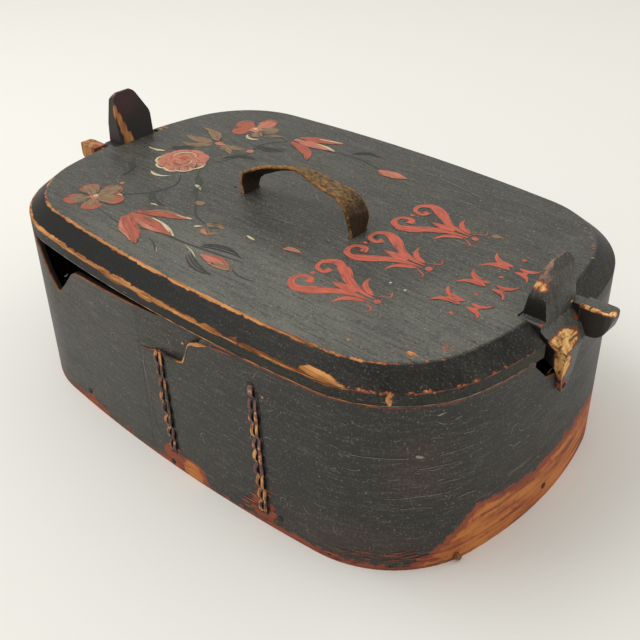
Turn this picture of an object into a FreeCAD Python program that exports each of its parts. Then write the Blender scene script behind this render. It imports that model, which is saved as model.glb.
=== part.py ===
"""Bentwood box with a snap-in board lid, two carved end posts and a leather strap handle.

The frame's origin is the centre of the base. +X runs along the box towards the end post
whose lug stands at +Y, -Y is the long side that carries the lap seam, and +Z is up.
All lengths are millimetres and angles are degrees.
"""
import FreeCAD
import Part
import math
import os
import Sketcher

Vector = FreeCAD.Vector
DOC = FreeCAD.newDocument("bentwood_box")
SHEET = DOC.addObject("Spreadsheet::Sheet", "Sizes")

# Driving sizes: alias, value, meaning.
DRIVING_SIZES = [
    ("half_length", 190, "centre to the middle of a short end"),
    ("half_width", 127, "centre to the middle of a long side"),
    ("corner_radius", 76, "plan radius of the bent corners"),
    ("end_radius", 262.6, "plan radius of the gently bowed ends"),
    ("side_radius", 1123, "plan radius of the gently bowed long sides"),
    ("wall_height", 115.7, "height of the bent wall"),
    ("wall_thickness", 4, "thickness of the bent strip"),
    ("lap_tip_x", -15, "where the outer layer runs out to a feather edge"),
    ("lap_full_x", 55, "where the outer layer has its full thickness"),
    ("lap_end_x", 98, "where the inner layer ends inside the box"),
    ("lap_layer", 3.5, "thickness of the inner layer at the lap"),
    ("lap_gap", 0.2, "gap between the two layers"),
    ("lap_bite", 0.5, "how far the inner layer's root is let into the wall"),
    ("skive", 8, "length of the skived end of the inner layer"),
    ("board_thickness", 14, "thickness of the bottom board"),
    ("board_gap", 0.15, "gap between the bottom board and the wall"),
    ("peg_radius", 2, "radius of the pegs that hold the bottom board"),
    ("peg_length", 26, "length of the bottom pegs inside the wood"),
    ("peg_height", 7, "mean height of the bottom pegs"),
    ("peg_stagger", 3.5, "pegs stand this much above or below the mean in turn"),
    ("peg_gap", 0.1, "clearance round every peg"),
    ("peg_proud", 0.4, "how far a trimmed peg stands out of the wall"),
    ("loose_peg_proud", 3, "how far the one peg that has worked out stands out"),
    ("loose_peg_shift", 17, "the loose peg sits this far past its even place round the foot"),
    ("row_left_in", 15.5, "middle of the left row of lacing, from the feather edge"),
    ("row_left_low", 14, "lowest stitch of the left row"),
    ("row_left_drop", 31.7, "from the rim to the highest stitch of the left row"),
    ("row_right_in", 21, "middle of the right row of lacing, from the inner layer's end"),
    ("row_right_low", 9, "lowest stitch of the right row"),
    ("row_right_drop", 14.7, "from the rim to the highest stitch of the right row"),
    ("row_lean", 2.6, "lean of the lacing rows from upright, in degrees"),
    ("root_width", 2.4, "width of one strand of root"),
    ("root_thickness", 1.4, "thickness of the flattened root"),
    ("stitch_pitch", 9.2, "distance from one stitch to the next"),
    ("stitch_width", 6.4, "width of a chain stitch"),
    ("slit_gap", 0.15, "clearance between the root and its slit"),
    ("strand_gap", 0.4, "clearance between the lacing and the wall's two faces"),
    ("ogee_length", 57, "length of the ogee that cuts back the outer layer"),
    ("ogee_depth", 31, "depth of the ogee below the rim"),
    ("rim_gap", 0.3, "gap between the wall's rim and the lid"),
    ("lip_height", 8, "upright edge of the lid"),
    ("bevel_rise", 10, "height of the lid's bevel"),
    ("bevel_run", 12.7, "width of the lid's bevel"),
    ("plug_depth", 4, "how far the lid reaches down into the box"),
    ("plug_gap", 1.5, "gap between the lid's plug and the inner layer"),
    ("notch_gap", 0.5, "clearance between a post and its notch in the lid"),
    ("strap_left_x", -44, "left slot of the strap"),
    ("strap_right_x", 49, "right slot of the strap"),
    ("strap_y", -6, "middle of the strap across the box"),
    ("strap_width", 15, "width of the strap"),
    ("strap_thickness", 3, "thickness of the leather"),
    ("strap_rise", 31, "height of the strap's arch above the lid"),
    ("strap_bend", 20, "radius of the arch where it leaves a slot"),
    ("strap_tail", 20, "length of the tail under the lid"),
    ("strap_gap", 0.25, "clearance round the strap in its slot"),
    ("pin_radius", 1.1, "radius of the pins through the strap's tails"),
    ("pin_spread", 7, "distance between the two pins of a tail"),
    ("pin_offset", 11, "distance from a slot to its pins"),
    ("plug_end", 4, "from a post's inner face to the sawn end of the lid's plug"),
    ("post_set_in", 19, "from the end of the box in to a post's inner face"),
    ("post_depth", 14, "a post's inner face to its outer face, at the lid"),
    ("post_half_width", 15, "half the width of a post's head"),
    ("neck_reach", 20, "reach of a post's neck to the side of its middle"),
    ("head_right_height", 31, "height of the +X head above the lid"),
    ("head_left_height", 38, "height of the -X head above the lid"),
    ("head_lean", 7, "how far a head's inner face leans outward up to its top"),
    ("head_edge", 4.5, "thickness of a head at its top"),
    ("head_slope", 7, "how far the top of a head slopes down outward"),
    ("lug_near", 10, "near side of the lug from the post's middle"),
    ("lug_width", 11, "width of the lug"),
    ("lug_length", 24, "reach of the lug from the head"),
    ("lug_rise", 1, "underside of the lug above the lid's underside"),
    ("lug_root", 3, "reach of the fillet of wood between lug and head"),
    ("lug_left_drop", 5, "how much lower the worn -X lug stands"),
    ("tail_length", 13.5, "from the mouth's floor down to the tip of the tail"),
    ("tail_foot", 2.5, "half the width of the tail at its tip"),
    ("tail_tip_thickness", 2.8, "thickness of the tail at its tip"),
    ("tail_thickness", 6.5, "thickness of the tail below the lid"),
    ("tail_gap", 0.3, "gap between the tail and the wall"),
    ("pivot_rise", 3.5, "from the tip of the tail up to the peg on which it flexes"),
    ("pivot_radius", 1.4, "radius of a post's peg"),
    ("pivot_gap", 0.35, "clearance round the post's peg in the tail"),
    ("mouth_depth", 18.2, "depth of the wall's notch behind a post"),
    ("mouth_reach", 27, "reach of the wall's notch to the side of a post's middle"),
    ("break_set_in", 80, "from the end of the box to the deepest point of the broken corner"),
    ("break_width", 58, "width of the rim's broken corner"),
    ("break_depth", 34, "depth of the rim's broken corner"),
    ("wear_length", 145, "length of the worn hollow in the rim beside the broken corner"),
]

PEG_COUNT = 12


class Size:
    """A length that knows its number and the spreadsheet expression that gives it."""

    def __init__(self, value, text):
        self.value = value
        self.text = text

    def __add__(self, other):
        other = as_size(other)
        return Size(self.value + other.value, f"({self.text} + {other.text})")

    def __sub__(self, other):
        other = as_size(other)
        return Size(self.value - other.value, f"({self.text} - {other.text})")

    def __mul__(self, other):
        other = as_size(other)
        return Size(self.value * other.value, f"({self.text} * {other.text})")

    def __truediv__(self, other):
        other = as_size(other)
        return Size(self.value / other.value, f"({self.text} / {other.text})")

    def __neg__(self):
        return Size(-self.value, f"(-1 * {self.text})")

    __radd__ = __add__
    __rmul__ = __mul__

    def __rsub__(self, other):
        return as_size(other) - self


def as_size(number):
    if isinstance(number, Size):
        return number
    return Size(float(number), f"({float(number):.6g})")


def square_root(size):
    return Size(math.sqrt(size.value), f"sqrt({size.text})")


class Sizes:
    """The driving sizes, each as an attribute with its sheet cell behind it."""


def fill_sheet():
    sizes = Sizes()
    for row, (alias, value, meaning) in enumerate(DRIVING_SIZES, start=1):
        SHEET.set(f"A{row}", alias)
        SHEET.set(f"B{row}", str(value))
        SHEET.set(f"C{row}", meaning)
        SHEET.setAlias(f"B{row}", alias)
        setattr(sizes, alias, Size(float(value), f"Sizes.{alias}"))
    DOC.recompute()
    return sizes


S = fill_sheet()
RIM = S.wall_height
LID_UNDERSIDE = RIM + S.rim_gap
LID_EDGE_TOP = LID_UNDERSIDE + S.lip_height
LID_TOP = LID_EDGE_TOP + S.bevel_rise
LID_HEIGHT = LID_TOP - LID_UNDERSIDE
LAP_INSET = S.wall_thickness + S.lap_layer
ROW_LEFT = S.lap_tip_x + S.row_left_in
ROW_RIGHT = S.lap_end_x - S.row_right_in
POST_INNER = S.half_length - S.post_set_in
POST_OUTER = POST_INNER + S.post_depth
MOUTH_FLOOR = RIM - S.mouth_depth
TAIL_TIP = MOUTH_FLOOR - S.tail_length
PIVOT_HEIGHT = TAIL_TIP + S.pivot_rise
BEYOND = 40          # a cut reaches this far past the solid that it cuts


# ---------------------------------------------------------------- sketch helpers

def origin_plane(body, role):
    for feature in body.Origin.OriginFeatures:
        if feature.Role == role:
            return feature
    raise ValueError(role)


def new_body(name):
    body = DOC.addObject("PartDesign::Body", name)
    body.Label = name
    return body


def new_sketch(body, role, offset=None):
    """Sketch on an origin plane of its body; offset is measured along the plane's normal."""
    sketch = body.newObject("Sketcher::SketchObject", body.Name + "_sketch")
    sketch.AttachmentSupport = [(origin_plane(body, role), "")]
    sketch.MapMode = "FlatFace"
    if offset is not None:
        sketch.AttachmentOffset = FreeCAD.Placement(Vector(0, 0, offset.value), FreeCAD.Rotation())
        sketch.setExpression(".AttachmentOffset.Base.z", offset.text)
    return sketch


def bind(sketch, constraint, size):
    """Add a dimension to a sketch and bind it to its expression."""
    index = sketch.addConstraint(constraint)
    sketch.setExpression(f"Constraints[{index}]", size.text)


def pin_point(sketch, geometry, end, x, y):
    bind(sketch, Sketcher.Constraint("DistanceX", -1, 1, geometry, end, x.value), x)
    bind(sketch, Sketcher.Constraint("DistanceY", -1, 1, geometry, end, y.value), y)


def polygon(sketch, points):
    """Closed outline of straight edges through points given as pairs of sizes."""
    points = [(as_size(x), as_size(y)) for x, y in points]
    flat = [Vector(x.value, y.value, 0) for x, y in points]
    count = len(flat)
    first = sketch.GeometryCount
    for k in range(count):
        sketch.addGeometry(Part.LineSegment(flat[k], flat[(k + 1) % count]), False)
    for k in range(count):
        following = first + (k + 1) % count
        sketch.addConstraint(Sketcher.Constraint("Coincident", first + k, 2, following, 1))
        pin_point(sketch, first + k, 1, *points[k])


def wall_outline(sketch, corners):
    """Closed outline whose corners are (x, inset, follows) on the front wall.

    Where follows is true, the edge to the next corner is an arc along the wall.
    """
    corners = [(as_size(x), as_size(inset), follows) for x, inset, follows in corners]
    places = [(x, wall_front_y(x, inset)) for x, inset, _ in corners]
    flat = [Vector(x.value, y.value, 0) for x, y in places]
    count = len(flat)
    centre = Vector(0, S.side_radius.value - S.half_width.value, 0)
    ends = []
    for k, (x, inset, follows) in enumerate(corners):
        pair = [flat[k], flat[(k + 1) % count]]
        backward = follows and pair[0].x > pair[1].x
        ends.append((2, 1) if backward else (1, 2))
        if follows:
            circle = Part.Circle(centre, Vector(0, 0, 1), S.side_radius.value - inset.value)
            angles = sorted(math.atan2(point.y - centre.y, point.x) for point in pair)
            sketch.addGeometry(Part.ArcOfCircle(circle, *angles), False)
        else:
            sketch.addGeometry(Part.LineSegment(*pair), False)
    for k, (x, inset, follows) in enumerate(corners):
        near, far = ends[k]
        following = (k + 1) % count
        sketch.addConstraint(Sketcher.Constraint("Coincident", k, far, following, ends[following][0]))
        pin_point(sketch, k, near, *places[k])
        if follows:
            radius = S.side_radius - inset
            bind(sketch, Sketcher.Constraint("Radius", k, radius.value), radius)


def rounded_pad(body, sketch, points, length, reverse=False):
    """Pad a closed outline of straight edges and round each corner that has a radius.

    Each point is (x, y) for a sharp corner or (x, y, radius) for one that is rounded off.
    """
    polygon(sketch, [point[:2] for point in points])
    pad(body, sketch, length, reverse)
    rounds = {}
    for x, y, radius in [point for point in points if len(point) > 2]:
        radius = as_size(radius)
        corner = Vector(as_size(x).value, as_size(y).value, 0)
        rounds.setdefault(radius.text, (radius, []))[1].append(corner)
    for radius, corners in sorted(rounds.values(), key=lambda entry: -entry[0].value):
        round_corners(body, sketch, corners, radius)


def round_corners(body, sketch, corners, radius):
    """Fillet the edges that the pad raised from the given corners of its sketch."""
    normal = sketch.Placement.Rotation.multVec(Vector(0, 0, 1))
    spots = [sketch.Placement.multVec(corner) for corner in corners]
    edges = []
    for k, edge in enumerate(body.Shape.Edges):
        ends = [vertex.Point for vertex in edge.Vertexes]
        for spot in spots:
            away = [(end - spot) - normal * (end - spot).dot(normal) for end in ends]
            if len(ends) == 2 and max(offset.Length for offset in away) < 1e-4:
                edges.append(f"Edge{k + 1}")
    if len(edges) != len(corners):
        raise ValueError(f"{body.Name}: {len(edges)} edges for {len(corners)} corners")
    blank = body.Tip
    fillet = body.newObject("PartDesign::Fillet", f"{body.Name}_round")
    fillet.Base = (blank, edges)
    fillet.Radius = radius.value
    fillet.setExpression("Radius", radius.text)
    DOC.recompute()
    if "Invalid" in fillet.State or "Error" in fillet.State:
        raise ValueError(f"{body.Name}: the radius {radius.value:.2f} does not fit")


def bowed_corner():
    """Centre of the +X +Y corner arc and the angles at which it meets the end and the side."""
    side = S.side_radius.value - S.corner_radius.value
    end = S.end_radius.value - S.corner_radius.value
    side_centre = Vector(0, S.half_width.value - S.side_radius.value, 0)
    end_centre = Vector(S.half_length.value - S.end_radius.value, 0, 0)
    across = end_centre - side_centre
    distance = across.Length
    along = (side ** 2 - end ** 2 + distance ** 2) / (2 * distance)
    height = math.sqrt(side ** 2 - along ** 2)
    unit = across * (1 / distance)
    centre = side_centre + unit * along + Vector(-unit.y, unit.x, 0) * height
    if centre.x < 0 or centre.y < 0:
        centre = side_centre + unit * along - Vector(-unit.y, unit.x, 0) * height
    side_angle = math.atan2(centre.y - side_centre.y, centre.x - side_centre.x)
    end_angle = math.atan2(centre.y - end_centre.y, centre.x - end_centre.x)
    return centre, end_angle, side_angle


def bowed_outline(sketch, inset):
    """Rounded rectangle with bowed sides: eight tangent arcs, every one moved in by inset."""
    inset = as_size(inset)
    corner, end_angle, side_angle = bowed_corner()
    corner_radius = S.corner_radius - inset
    end_radius = S.end_radius - inset
    side_radius = S.side_radius - inset
    end_x = S.half_length - S.end_radius
    side_y = S.half_width - S.side_radius
    full, half = 2 * math.pi, math.pi
    arcs = [
        (end_x.value, 0, end_radius, -end_angle, end_angle),
        (corner.x, corner.y, corner_radius, end_angle, side_angle),
        (0, side_y.value, side_radius, side_angle, half - side_angle),
        (-corner.x, corner.y, corner_radius, half - side_angle, half - end_angle),
        (-end_x.value, 0, end_radius, half - end_angle, half + end_angle),
        (-corner.x, -corner.y, corner_radius, half + end_angle, half + side_angle),
        (0, -side_y.value, side_radius, half + side_angle, full - side_angle),
        (corner.x, -corner.y, corner_radius, full - side_angle, full - end_angle),
    ]
    first = sketch.GeometryCount
    for x, y, radius, start, stop in arcs:
        circle = Part.Circle(Vector(x, y, 0), Vector(0, 0, 1), radius.value)
        sketch.addGeometry(Part.ArcOfCircle(circle, start, stop), False)
    for k, (x, y, radius, start, stop) in enumerate(arcs):
        following = first + (k + 1) % len(arcs)
        sketch.addConstraint(Sketcher.Constraint("Tangent", first + k, 2, following, 1))
        bind(sketch, Sketcher.Constraint("Radius", first + k, radius.value), radius)
    for k, sign in ((0, 1), (4, -1)):
        sketch.addConstraint(Sketcher.Constraint("PointOnObject", first + k, 3, -1))
        centre = end_x * sign
        bind(sketch, Sketcher.Constraint("DistanceX", -1, 1, first + k, 3, centre.value), centre)
    for k, sign in ((2, 1), (6, -1)):
        sketch.addConstraint(Sketcher.Constraint("PointOnObject", first + k, 3, -2))
        centre = side_y * sign
        bind(sketch, Sketcher.Constraint("DistanceY", -1, 1, first + k, 3, centre.value), centre)


# ---------------------------------------------------------------- feature helpers

def pad(body, sketch, length, reverse=False, both=False):
    feature = body.newObject("PartDesign::Pad", sketch.Name + "_pad")
    feature.Profile = sketch
    feature.Reversed = reverse
    feature.Midplane = both
    feature.Length = as_size(length).value
    feature.setExpression("Length", as_size(length).text)
    sketch.Visibility = False
    DOC.recompute()
    return feature


def pocket(body, sketch, length=None, reverse=False, both=False):
    """Cut a sketch out of its body, all the way through when no length is given."""
    before = body.Shape.Volume
    feature = body.newObject("PartDesign::Pocket", sketch.Name + "_pocket")
    feature.Profile = sketch
    feature.Reversed = reverse
    feature.Midplane = both
    if length is None:
        feature.Type = 1
    else:
        feature.Length = as_size(length).value
        feature.setExpression("Length", as_size(length).text)
    DOC.recompute()
    if not body.Shape.Volume < before - 0.01:
        raise ValueError(f"{feature.Name} cuts nothing")
    return feature


def bound_cylinder(name, radius, height, placement):
    cylinder = DOC.addObject("Part::Cylinder", name)
    cylinder.Radius = radius.value
    cylinder.setExpression("Radius", radius.text)
    cylinder.Height = as_size(height).value
    cylinder.setExpression("Height", as_size(height).text)
    cylinder.Placement = placement
    return cylinder


def whittled_peg(name, radius, length, placement):
    """Eight-sided peg whose corners just touch a hole of the given radius."""
    peg = DOC.addObject("Part::Prism", name)
    peg.Polygon = 8
    peg.Circumradius = radius.value
    peg.setExpression("Circumradius", radius.text)
    peg.Height = length.value
    peg.setExpression("Height", length.text)
    peg.Placement = placement
    peg.Label = name
    return peg


def bound_box(name, low, high):
    """Part::Box between two corners given as sizes."""
    box = DOC.addObject("Part::Box", name)
    low = [as_size(c) for c in low]
    high = [as_size(c) for c in high]
    for side, a, b in zip(("Length", "Width", "Height"), low, high):
        setattr(box, side, (b - a).value)
        box.setExpression(side, (b - a).text)
    for axis, a in zip("xyz", low):
        box.setExpression(f".Placement.Base.{axis}", a.text)
    return box


def boolean(kind, name, parts):
    """Part::MultiFuse, Part::MultiCommon or Part::Compound of several objects."""
    feature = DOC.addObject(kind, name)
    if kind == "Part::Compound":
        feature.Links = parts
    else:
        feature.Shapes = parts
    return feature


def cut(name, base, tool):
    feature = DOC.addObject("Part::Cut", name)
    feature.Base = base
    feature.Tool = tool
    feature.Label = name
    DOC.recompute()
    return feature


# ---------------------------------------------------------------- places on the outline

def wall_front_y(x, inset=0):
    """Y of the front long side at x, with the surface moved in by inset."""
    x, radius = as_size(x), S.side_radius - inset
    return S.side_radius - S.half_width - square_root(radius * radius - x * x)


def outline_walk(distance):
    """Point and outward normal on the outline, at a distance from the +X end's middle.

    A positive distance walks towards +Y and round; the outline is symmetric.
    """
    corner, end_angle, side_angle = bowed_corner()
    end_run = S.end_radius.value * end_angle
    corner_run = S.corner_radius.value * (side_angle - end_angle)
    side_run = S.side_radius.value * (math.pi / 2 - side_angle)
    quarter = end_run + corner_run + side_run
    lap = distance % (4 * quarter)
    quadrant = int(lap // quarter)
    walked = lap - quadrant * quarter
    if quadrant % 2:
        walked = quarter - walked
    if walked < end_run:
        centre, radius = Vector(S.half_length.value - S.end_radius.value, 0, 0), S.end_radius.value
        angle = walked / radius
    elif walked < end_run + corner_run:
        centre, radius = corner, S.corner_radius.value
        angle = end_angle + (walked - end_run) / radius
    else:
        centre, radius = Vector(0, S.half_width.value - S.side_radius.value, 0), S.side_radius.value
        angle = side_angle + (walked - end_run - corner_run) / radius
    normal = Vector(math.cos(angle), math.sin(angle), 0)
    point = centre + normal * radius
    flip_x = -1 if quadrant in (1, 2) else 1
    flip_y = -1 if quadrant in (2, 3) else 1
    return (Vector(point.x * flip_x, point.y * flip_y, 0),
            Vector(normal.x * flip_x, normal.y * flip_y, 0), 4 * quarter)


def peg_places():
    """Outer end and inward direction of each bottom peg, staggered up and down."""
    places = []
    perimeter = outline_walk(0)[2]
    for k in range(PEG_COUNT):
        shift = S.loose_peg_shift.value if k == PEG_COUNT - 1 else 0
        point, normal, _ = outline_walk(k * perimeter / PEG_COUNT + shift)
        lift = S.peg_stagger.value if k % 2 == 0 else -S.peg_stagger.value
        point.z = S.peg_height.value + lift
        places.append((point, normal))
    return places


def pointing(origin, direction):
    return FreeCAD.Placement(origin, FreeCAD.Rotation(Vector(0, 0, 1), direction))


# ---------------------------------------------------------------- the bent wall

def wall_ring():
    """The bent strip as a ring, thickened inside where its two ends lap."""
    body = new_body("wall_ring")
    outer = new_sketch(body, "XY_Plane")
    bowed_outline(outer, 0)
    pad(body, outer, RIM)
    inner = new_sketch(body, "XY_Plane")
    bowed_outline(inner, S.wall_thickness)
    pocket(body, inner, reverse=True)
    return body


def lap_layer(name, grow, height):
    """The inner end of the strip, skived thin at both ends, as it lies inside the wall."""
    body = new_body(name)
    sketch = new_sketch(body, "XY_Plane")
    root = S.wall_thickness - S.lap_bite
    face = LAP_INSET + grow
    low, high = S.lap_tip_x - grow, S.lap_end_x + grow
    wall_outline(sketch, [
        (low - S.skive, root, False), (low + 4 * S.skive, face, True), (high - S.skive, face, False),
        (high, root, True)])
    pad(body, sketch, height)
    return body


def lap_parting():
    """The thin space between the two layers: from the feather edge in, then along the lap."""
    body = new_body("lap_parting")
    sketch = new_sketch(body, "XY_Plane")
    start, end = S.lap_tip_x - 12, S.lap_end_x + 2
    depth, gap = S.wall_thickness, S.lap_gap
    outside = -0.8
    wall_outline(sketch, [
        (start, outside, False), (S.lap_full_x, depth, True), (end, depth, False),
        (end, depth + gap, True), (S.lap_full_x, depth + gap, False), (start, outside + gap, False)])
    pad(body, sketch, RIM + 2)
    return body


def lap_outer_region():
    """Space outside the parting line, where only the outer layer lies."""
    body = new_body("outer_region")
    sketch = new_sketch(body, "XY_Plane")
    start, end = S.lap_tip_x - 12, S.lap_full_x + BEYOND
    front = -(S.half_width + BEYOND)
    polygon(sketch, [
        (start, wall_front_y(start, -0.8)), (S.lap_full_x, wall_front_y(S.lap_full_x, S.wall_thickness)),
        (end, wall_front_y(end, S.wall_thickness)), (end, front), (start, front)])
    pad(body, sketch, RIM + BEYOND)
    return body


def cut_back():
    """The outer layer's upper corner, cut back in an ogee below the rim."""
    body = new_body("cut_back")
    sketch = new_sketch(body, "XZ_Plane")
    start, above = S.lap_tip_x, RIM + BEYOND
    run, drop = S.ogee_length, S.ogee_depth
    rounded_pad(body, sketch, [
        (start - BEYOND, above), (start - BEYOND, RIM - drop), (start + run * 0.05, RIM - drop, drop * 0.13),
        (start + run * 0.25, RIM - drop * 0.87), (start + run * 0.35, RIM - drop * 0.92, drop * 0.16),
        (start + run * 0.61, RIM - drop * 0.84, drop * 0.22),
        (start + run * 0.74, RIM - drop * 0.29, drop * 0.15),
        (start + run * 0.9, RIM - drop * 0.16, drop * 0.1), (start + run, RIM + drop * 0.1),
        (start + run, above)], S.half_width + BEYOND)
    return body


def rim_wear():
    """What has worn off and broken out of the rim: a V at the corner and a long hollow."""
    body = new_body("rim_wear")
    sketch = new_sketch(body, "XZ_Plane")
    corner, above = S.break_set_in - S.half_length, RIM + BEYOND
    wide, deep, wear = S.break_width, S.break_depth, S.wear_length
    rounded_pad(body, sketch, [
        (corner - wide * 0.57, above), (corner - wide * 0.53, RIM - deep * 0.09),
        (corner - wide * 0.34, RIM - deep * 0.26, deep * 0.23), (corner - wide * 0.16, RIM - deep * 0.7),
        (corner, RIM - deep, deep * 0.08), (corner + wide * 0.21, RIM - deep * 0.65),
        (corner + wide * 0.43, RIM - deep * 0.24, deep * 0.32), (corner + wear * 0.48, RIM - deep * 0.15),
        (corner + wear, RIM + S.rim_gap / 2), (corner + wear, above)], S.half_width + BEYOND)
    return body


def post_mouth(name, turn):
    """Notch in the wall's rim behind a post: a scoop, wider on the side of the broken tail."""
    body = new_body(name)
    sketch = new_sketch(body, "YZ_Plane", S.half_length - BEYOND / 2)
    floor, above, far = MOUTH_FLOOR, RIM + BEYOND, S.lug_near + S.notch_gap
    reach, deep = S.mouth_reach, S.mouth_depth
    rounded_pad(body, sketch, [
        (-reach, above), (-reach, RIM - deep * 0.16), (-reach * 0.55, floor + deep * 0.11, deep * 0.4),
        (-reach * 0.22, floor), (far, floor, deep * 0.16), (far, above)], as_size(BEYOND))
    body.Placement = FreeCAD.Placement(Vector(), FreeCAD.Rotation(Vector(0, 0, 1), turn))
    return body


def make_wall_band(slits):
    """One strip of bent softwood, lapped at the front, with its notches, slits and bores."""
    strip = boolean("Part::MultiFuse", "wall_with_lap", [wall_ring(), lap_layer("lap_layer", 0, RIM)])
    outer_layer = lap_outer_region()
    corner = boolean("Part::MultiCommon", "ogee_waste", [cut_back(), outer_layer])
    bores = [bound_cylinder(f"wall_bore_{k + 1:02d}", S.peg_radius + S.peg_gap,
                            S.wall_thickness + 4 * BEYOND / 10,
                            pointing(point + normal * 4, -normal))
             for k, (point, normal) in enumerate(peg_places())]
    bores += [bound_cylinder(f"pivot_bore_{side}", S.pivot_radius + S.peg_gap, 4 * S.wall_thickness,
                             pointing(Vector(sign * (S.half_length.value + 4), 0, PIVOT_HEIGHT.value),
                                      Vector(-sign, 0, 0)))
              for side, sign in (("right", 1), ("left", -1))]
    waste = boolean("Part::MultiFuse", "wall_waste", [
        lap_parting(), corner, rim_wear(), post_mouth("mouth_right", 0),
        post_mouth("mouth_left", 180)] + slits + bores)
    return cut("wall_band", strip, waste)


# ---------------------------------------------------------------- the lacing

def stitch_count(low, high):
    return int((high.value - low.value) // S.stitch_pitch.value) + 1


def repeat_up(body, feature, count):
    """Repeat a feature up the row, one stitch apart."""
    pattern = body.newObject("PartDesign::LinearPattern", feature.Name + "_row")
    pattern.Originals = [feature]
    pattern.Direction = (origin_plane(body, "Z_Axis"), [""])
    length = S.stitch_pitch * (count - 1)
    pattern.Length = length.value
    pattern.setExpression("Length", length.text)
    pattern.Occurrences = count
    body.Tip = pattern
    DOC.recompute()
    return pattern


def lacing_row(name, x, low, high):
    """One row of root lacing: a running strand inside, legs through the wall, a chain outside."""
    count = stitch_count(low, high)
    face = wall_front_y(x)
    through = LAP_INSET + S.strand_gap
    root, flat, width = S.root_width / 2, S.root_thickness / 2, S.stitch_width / 2
    body = new_body(name)
    strand = new_sketch(body, "XZ_Plane", -(face + through))
    top = low + S.stitch_pitch * (count - 1)
    polygon(strand, [(-root, low - 1), (root, low - 1), (root, top + 1), (-root, top + 1)])
    pad(body, strand, S.root_thickness, reverse=True)
    leg = new_sketch(body, "XZ_Plane", -(face + through))
    polygon(leg, [(-root, low - flat), (root, low - flat), (root, low + flat), (-root, low + flat)])
    repeat_up(body, pad(body, leg, through + S.strand_gap + S.root_thickness / 2), count)
    loop = new_sketch(body, "XZ_Plane", -(face - S.strand_gap))
    reach = low + S.stitch_pitch
    polygon(loop, [(-root, low - flat), (root, low - flat), (width, reach), (width - root, reach + 2 * flat),
                   (0, low + 2 * flat), (root - width, reach + 2 * flat), (-width, reach)])
    repeat_up(body, pad(body, loop, S.root_thickness), count)
    return lean_row(x, body)


def row_slits(name, x, low, high):
    """The slits of one row, through both layers of the wall."""
    face, gap = wall_front_y(x), S.slit_gap
    root, flat = S.root_width / 2 + gap, S.root_thickness / 2 + gap
    slits = []
    for k in range(stitch_count(low, high)):
        level = low + S.stitch_pitch * k
        slits.append(bound_box(f"{name}_slit_{k + 1:02d}", (-root, face - 3, level - flat),
                               (root, face + LAP_INSET + 3, level + flat)))
    return lean_row(x, boolean("Part::MultiFuse", name + "_slits", slits))


def lean_row(x, obj):
    """Lean a row about the middle of the wall's height and move it to its place."""
    turn = FreeCAD.Rotation(Vector(0, 1, 0), -S.row_lean.value)
    middle = Vector(0, 0, RIM.value / 2)
    obj.Placement = FreeCAD.Placement(middle + Vector(x.value, 0, 0) - turn.multVec(middle), turn)
    return obj


def make_lacing():
    rows = (("lap_lacing_left", ROW_LEFT, S.row_left_low, RIM - S.row_left_drop),
            ("lap_lacing_right", ROW_RIGHT, S.row_right_low, RIM - S.row_right_drop))
    return [lacing_row(*row) for row in rows], [row_slits(*row) for row in rows]


# ---------------------------------------------------------------- the bottom

def strand_room(name, x, low):
    """Groove in the board's edge for the foot of a row's inner strand."""
    half, inner = S.root_width / 2 + S.strand_gap, wall_front_y(x) + LAP_INSET + S.strand_gap
    room = bound_box(name, (-half, inner - S.lap_layer, low - 1 - 2 * S.strand_gap),
                     (half, inner + S.root_thickness + S.strand_gap, S.board_thickness + 2))
    return lean_row(x, boolean("Part::Compound", name + "_leaning", [room]))


def make_bottom_board():
    """Board inside the foot of the wall, cut back where the wall has two layers."""
    body = new_body("bottom_blank")
    sketch = new_sketch(body, "XY_Plane")
    bowed_outline(sketch, S.wall_thickness + S.board_gap)
    pad(body, sketch, S.board_thickness)
    recess = lap_layer("lap_recess", 2 * S.board_gap.value, S.board_thickness)
    bores = [bound_cylinder(f"board_bore_{k + 1:02d}", S.peg_radius + S.peg_gap,
                            S.peg_length + S.wall_thickness + S.peg_gap,
                            pointing(point + normal * S.wall_thickness.value, -normal))
             for k, (point, normal) in enumerate(peg_places())]
    rooms = [strand_room("room_left", ROW_LEFT, S.row_left_low),
             strand_room("room_right", ROW_RIGHT, S.row_right_low)]
    return cut("bottom_board", body, boolean("Part::MultiFuse", "board_waste", [recess] + rooms + bores))


def make_bottom_pegs():
    pegs = []
    for k, (point, normal) in enumerate(peg_places()):
        proud = S.loose_peg_proud if k == PEG_COUNT - 1 else S.peg_proud
        start = point + normal * proud.value
        pegs.append(whittled_peg(f"bottom_peg_{k + 1:02d}", S.peg_radius, S.peg_length + proud,
                                 pointing(start, -normal)))
    return pegs


# ---------------------------------------------------------------- the lid

def lid_blank():
    body = new_body("lid_blank")
    board = new_sketch(body, "XY_Plane", LID_UNDERSIDE)
    bowed_outline(board, 0)
    pad(body, board, S.lip_height + S.bevel_rise)
    bevel(body)
    plug = new_sketch(body, "XY_Plane", LID_UNDERSIDE)
    bowed_outline(plug, LAP_INSET + S.plug_gap)
    pad(body, plug, S.plug_depth, reverse=True)
    return body


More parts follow.
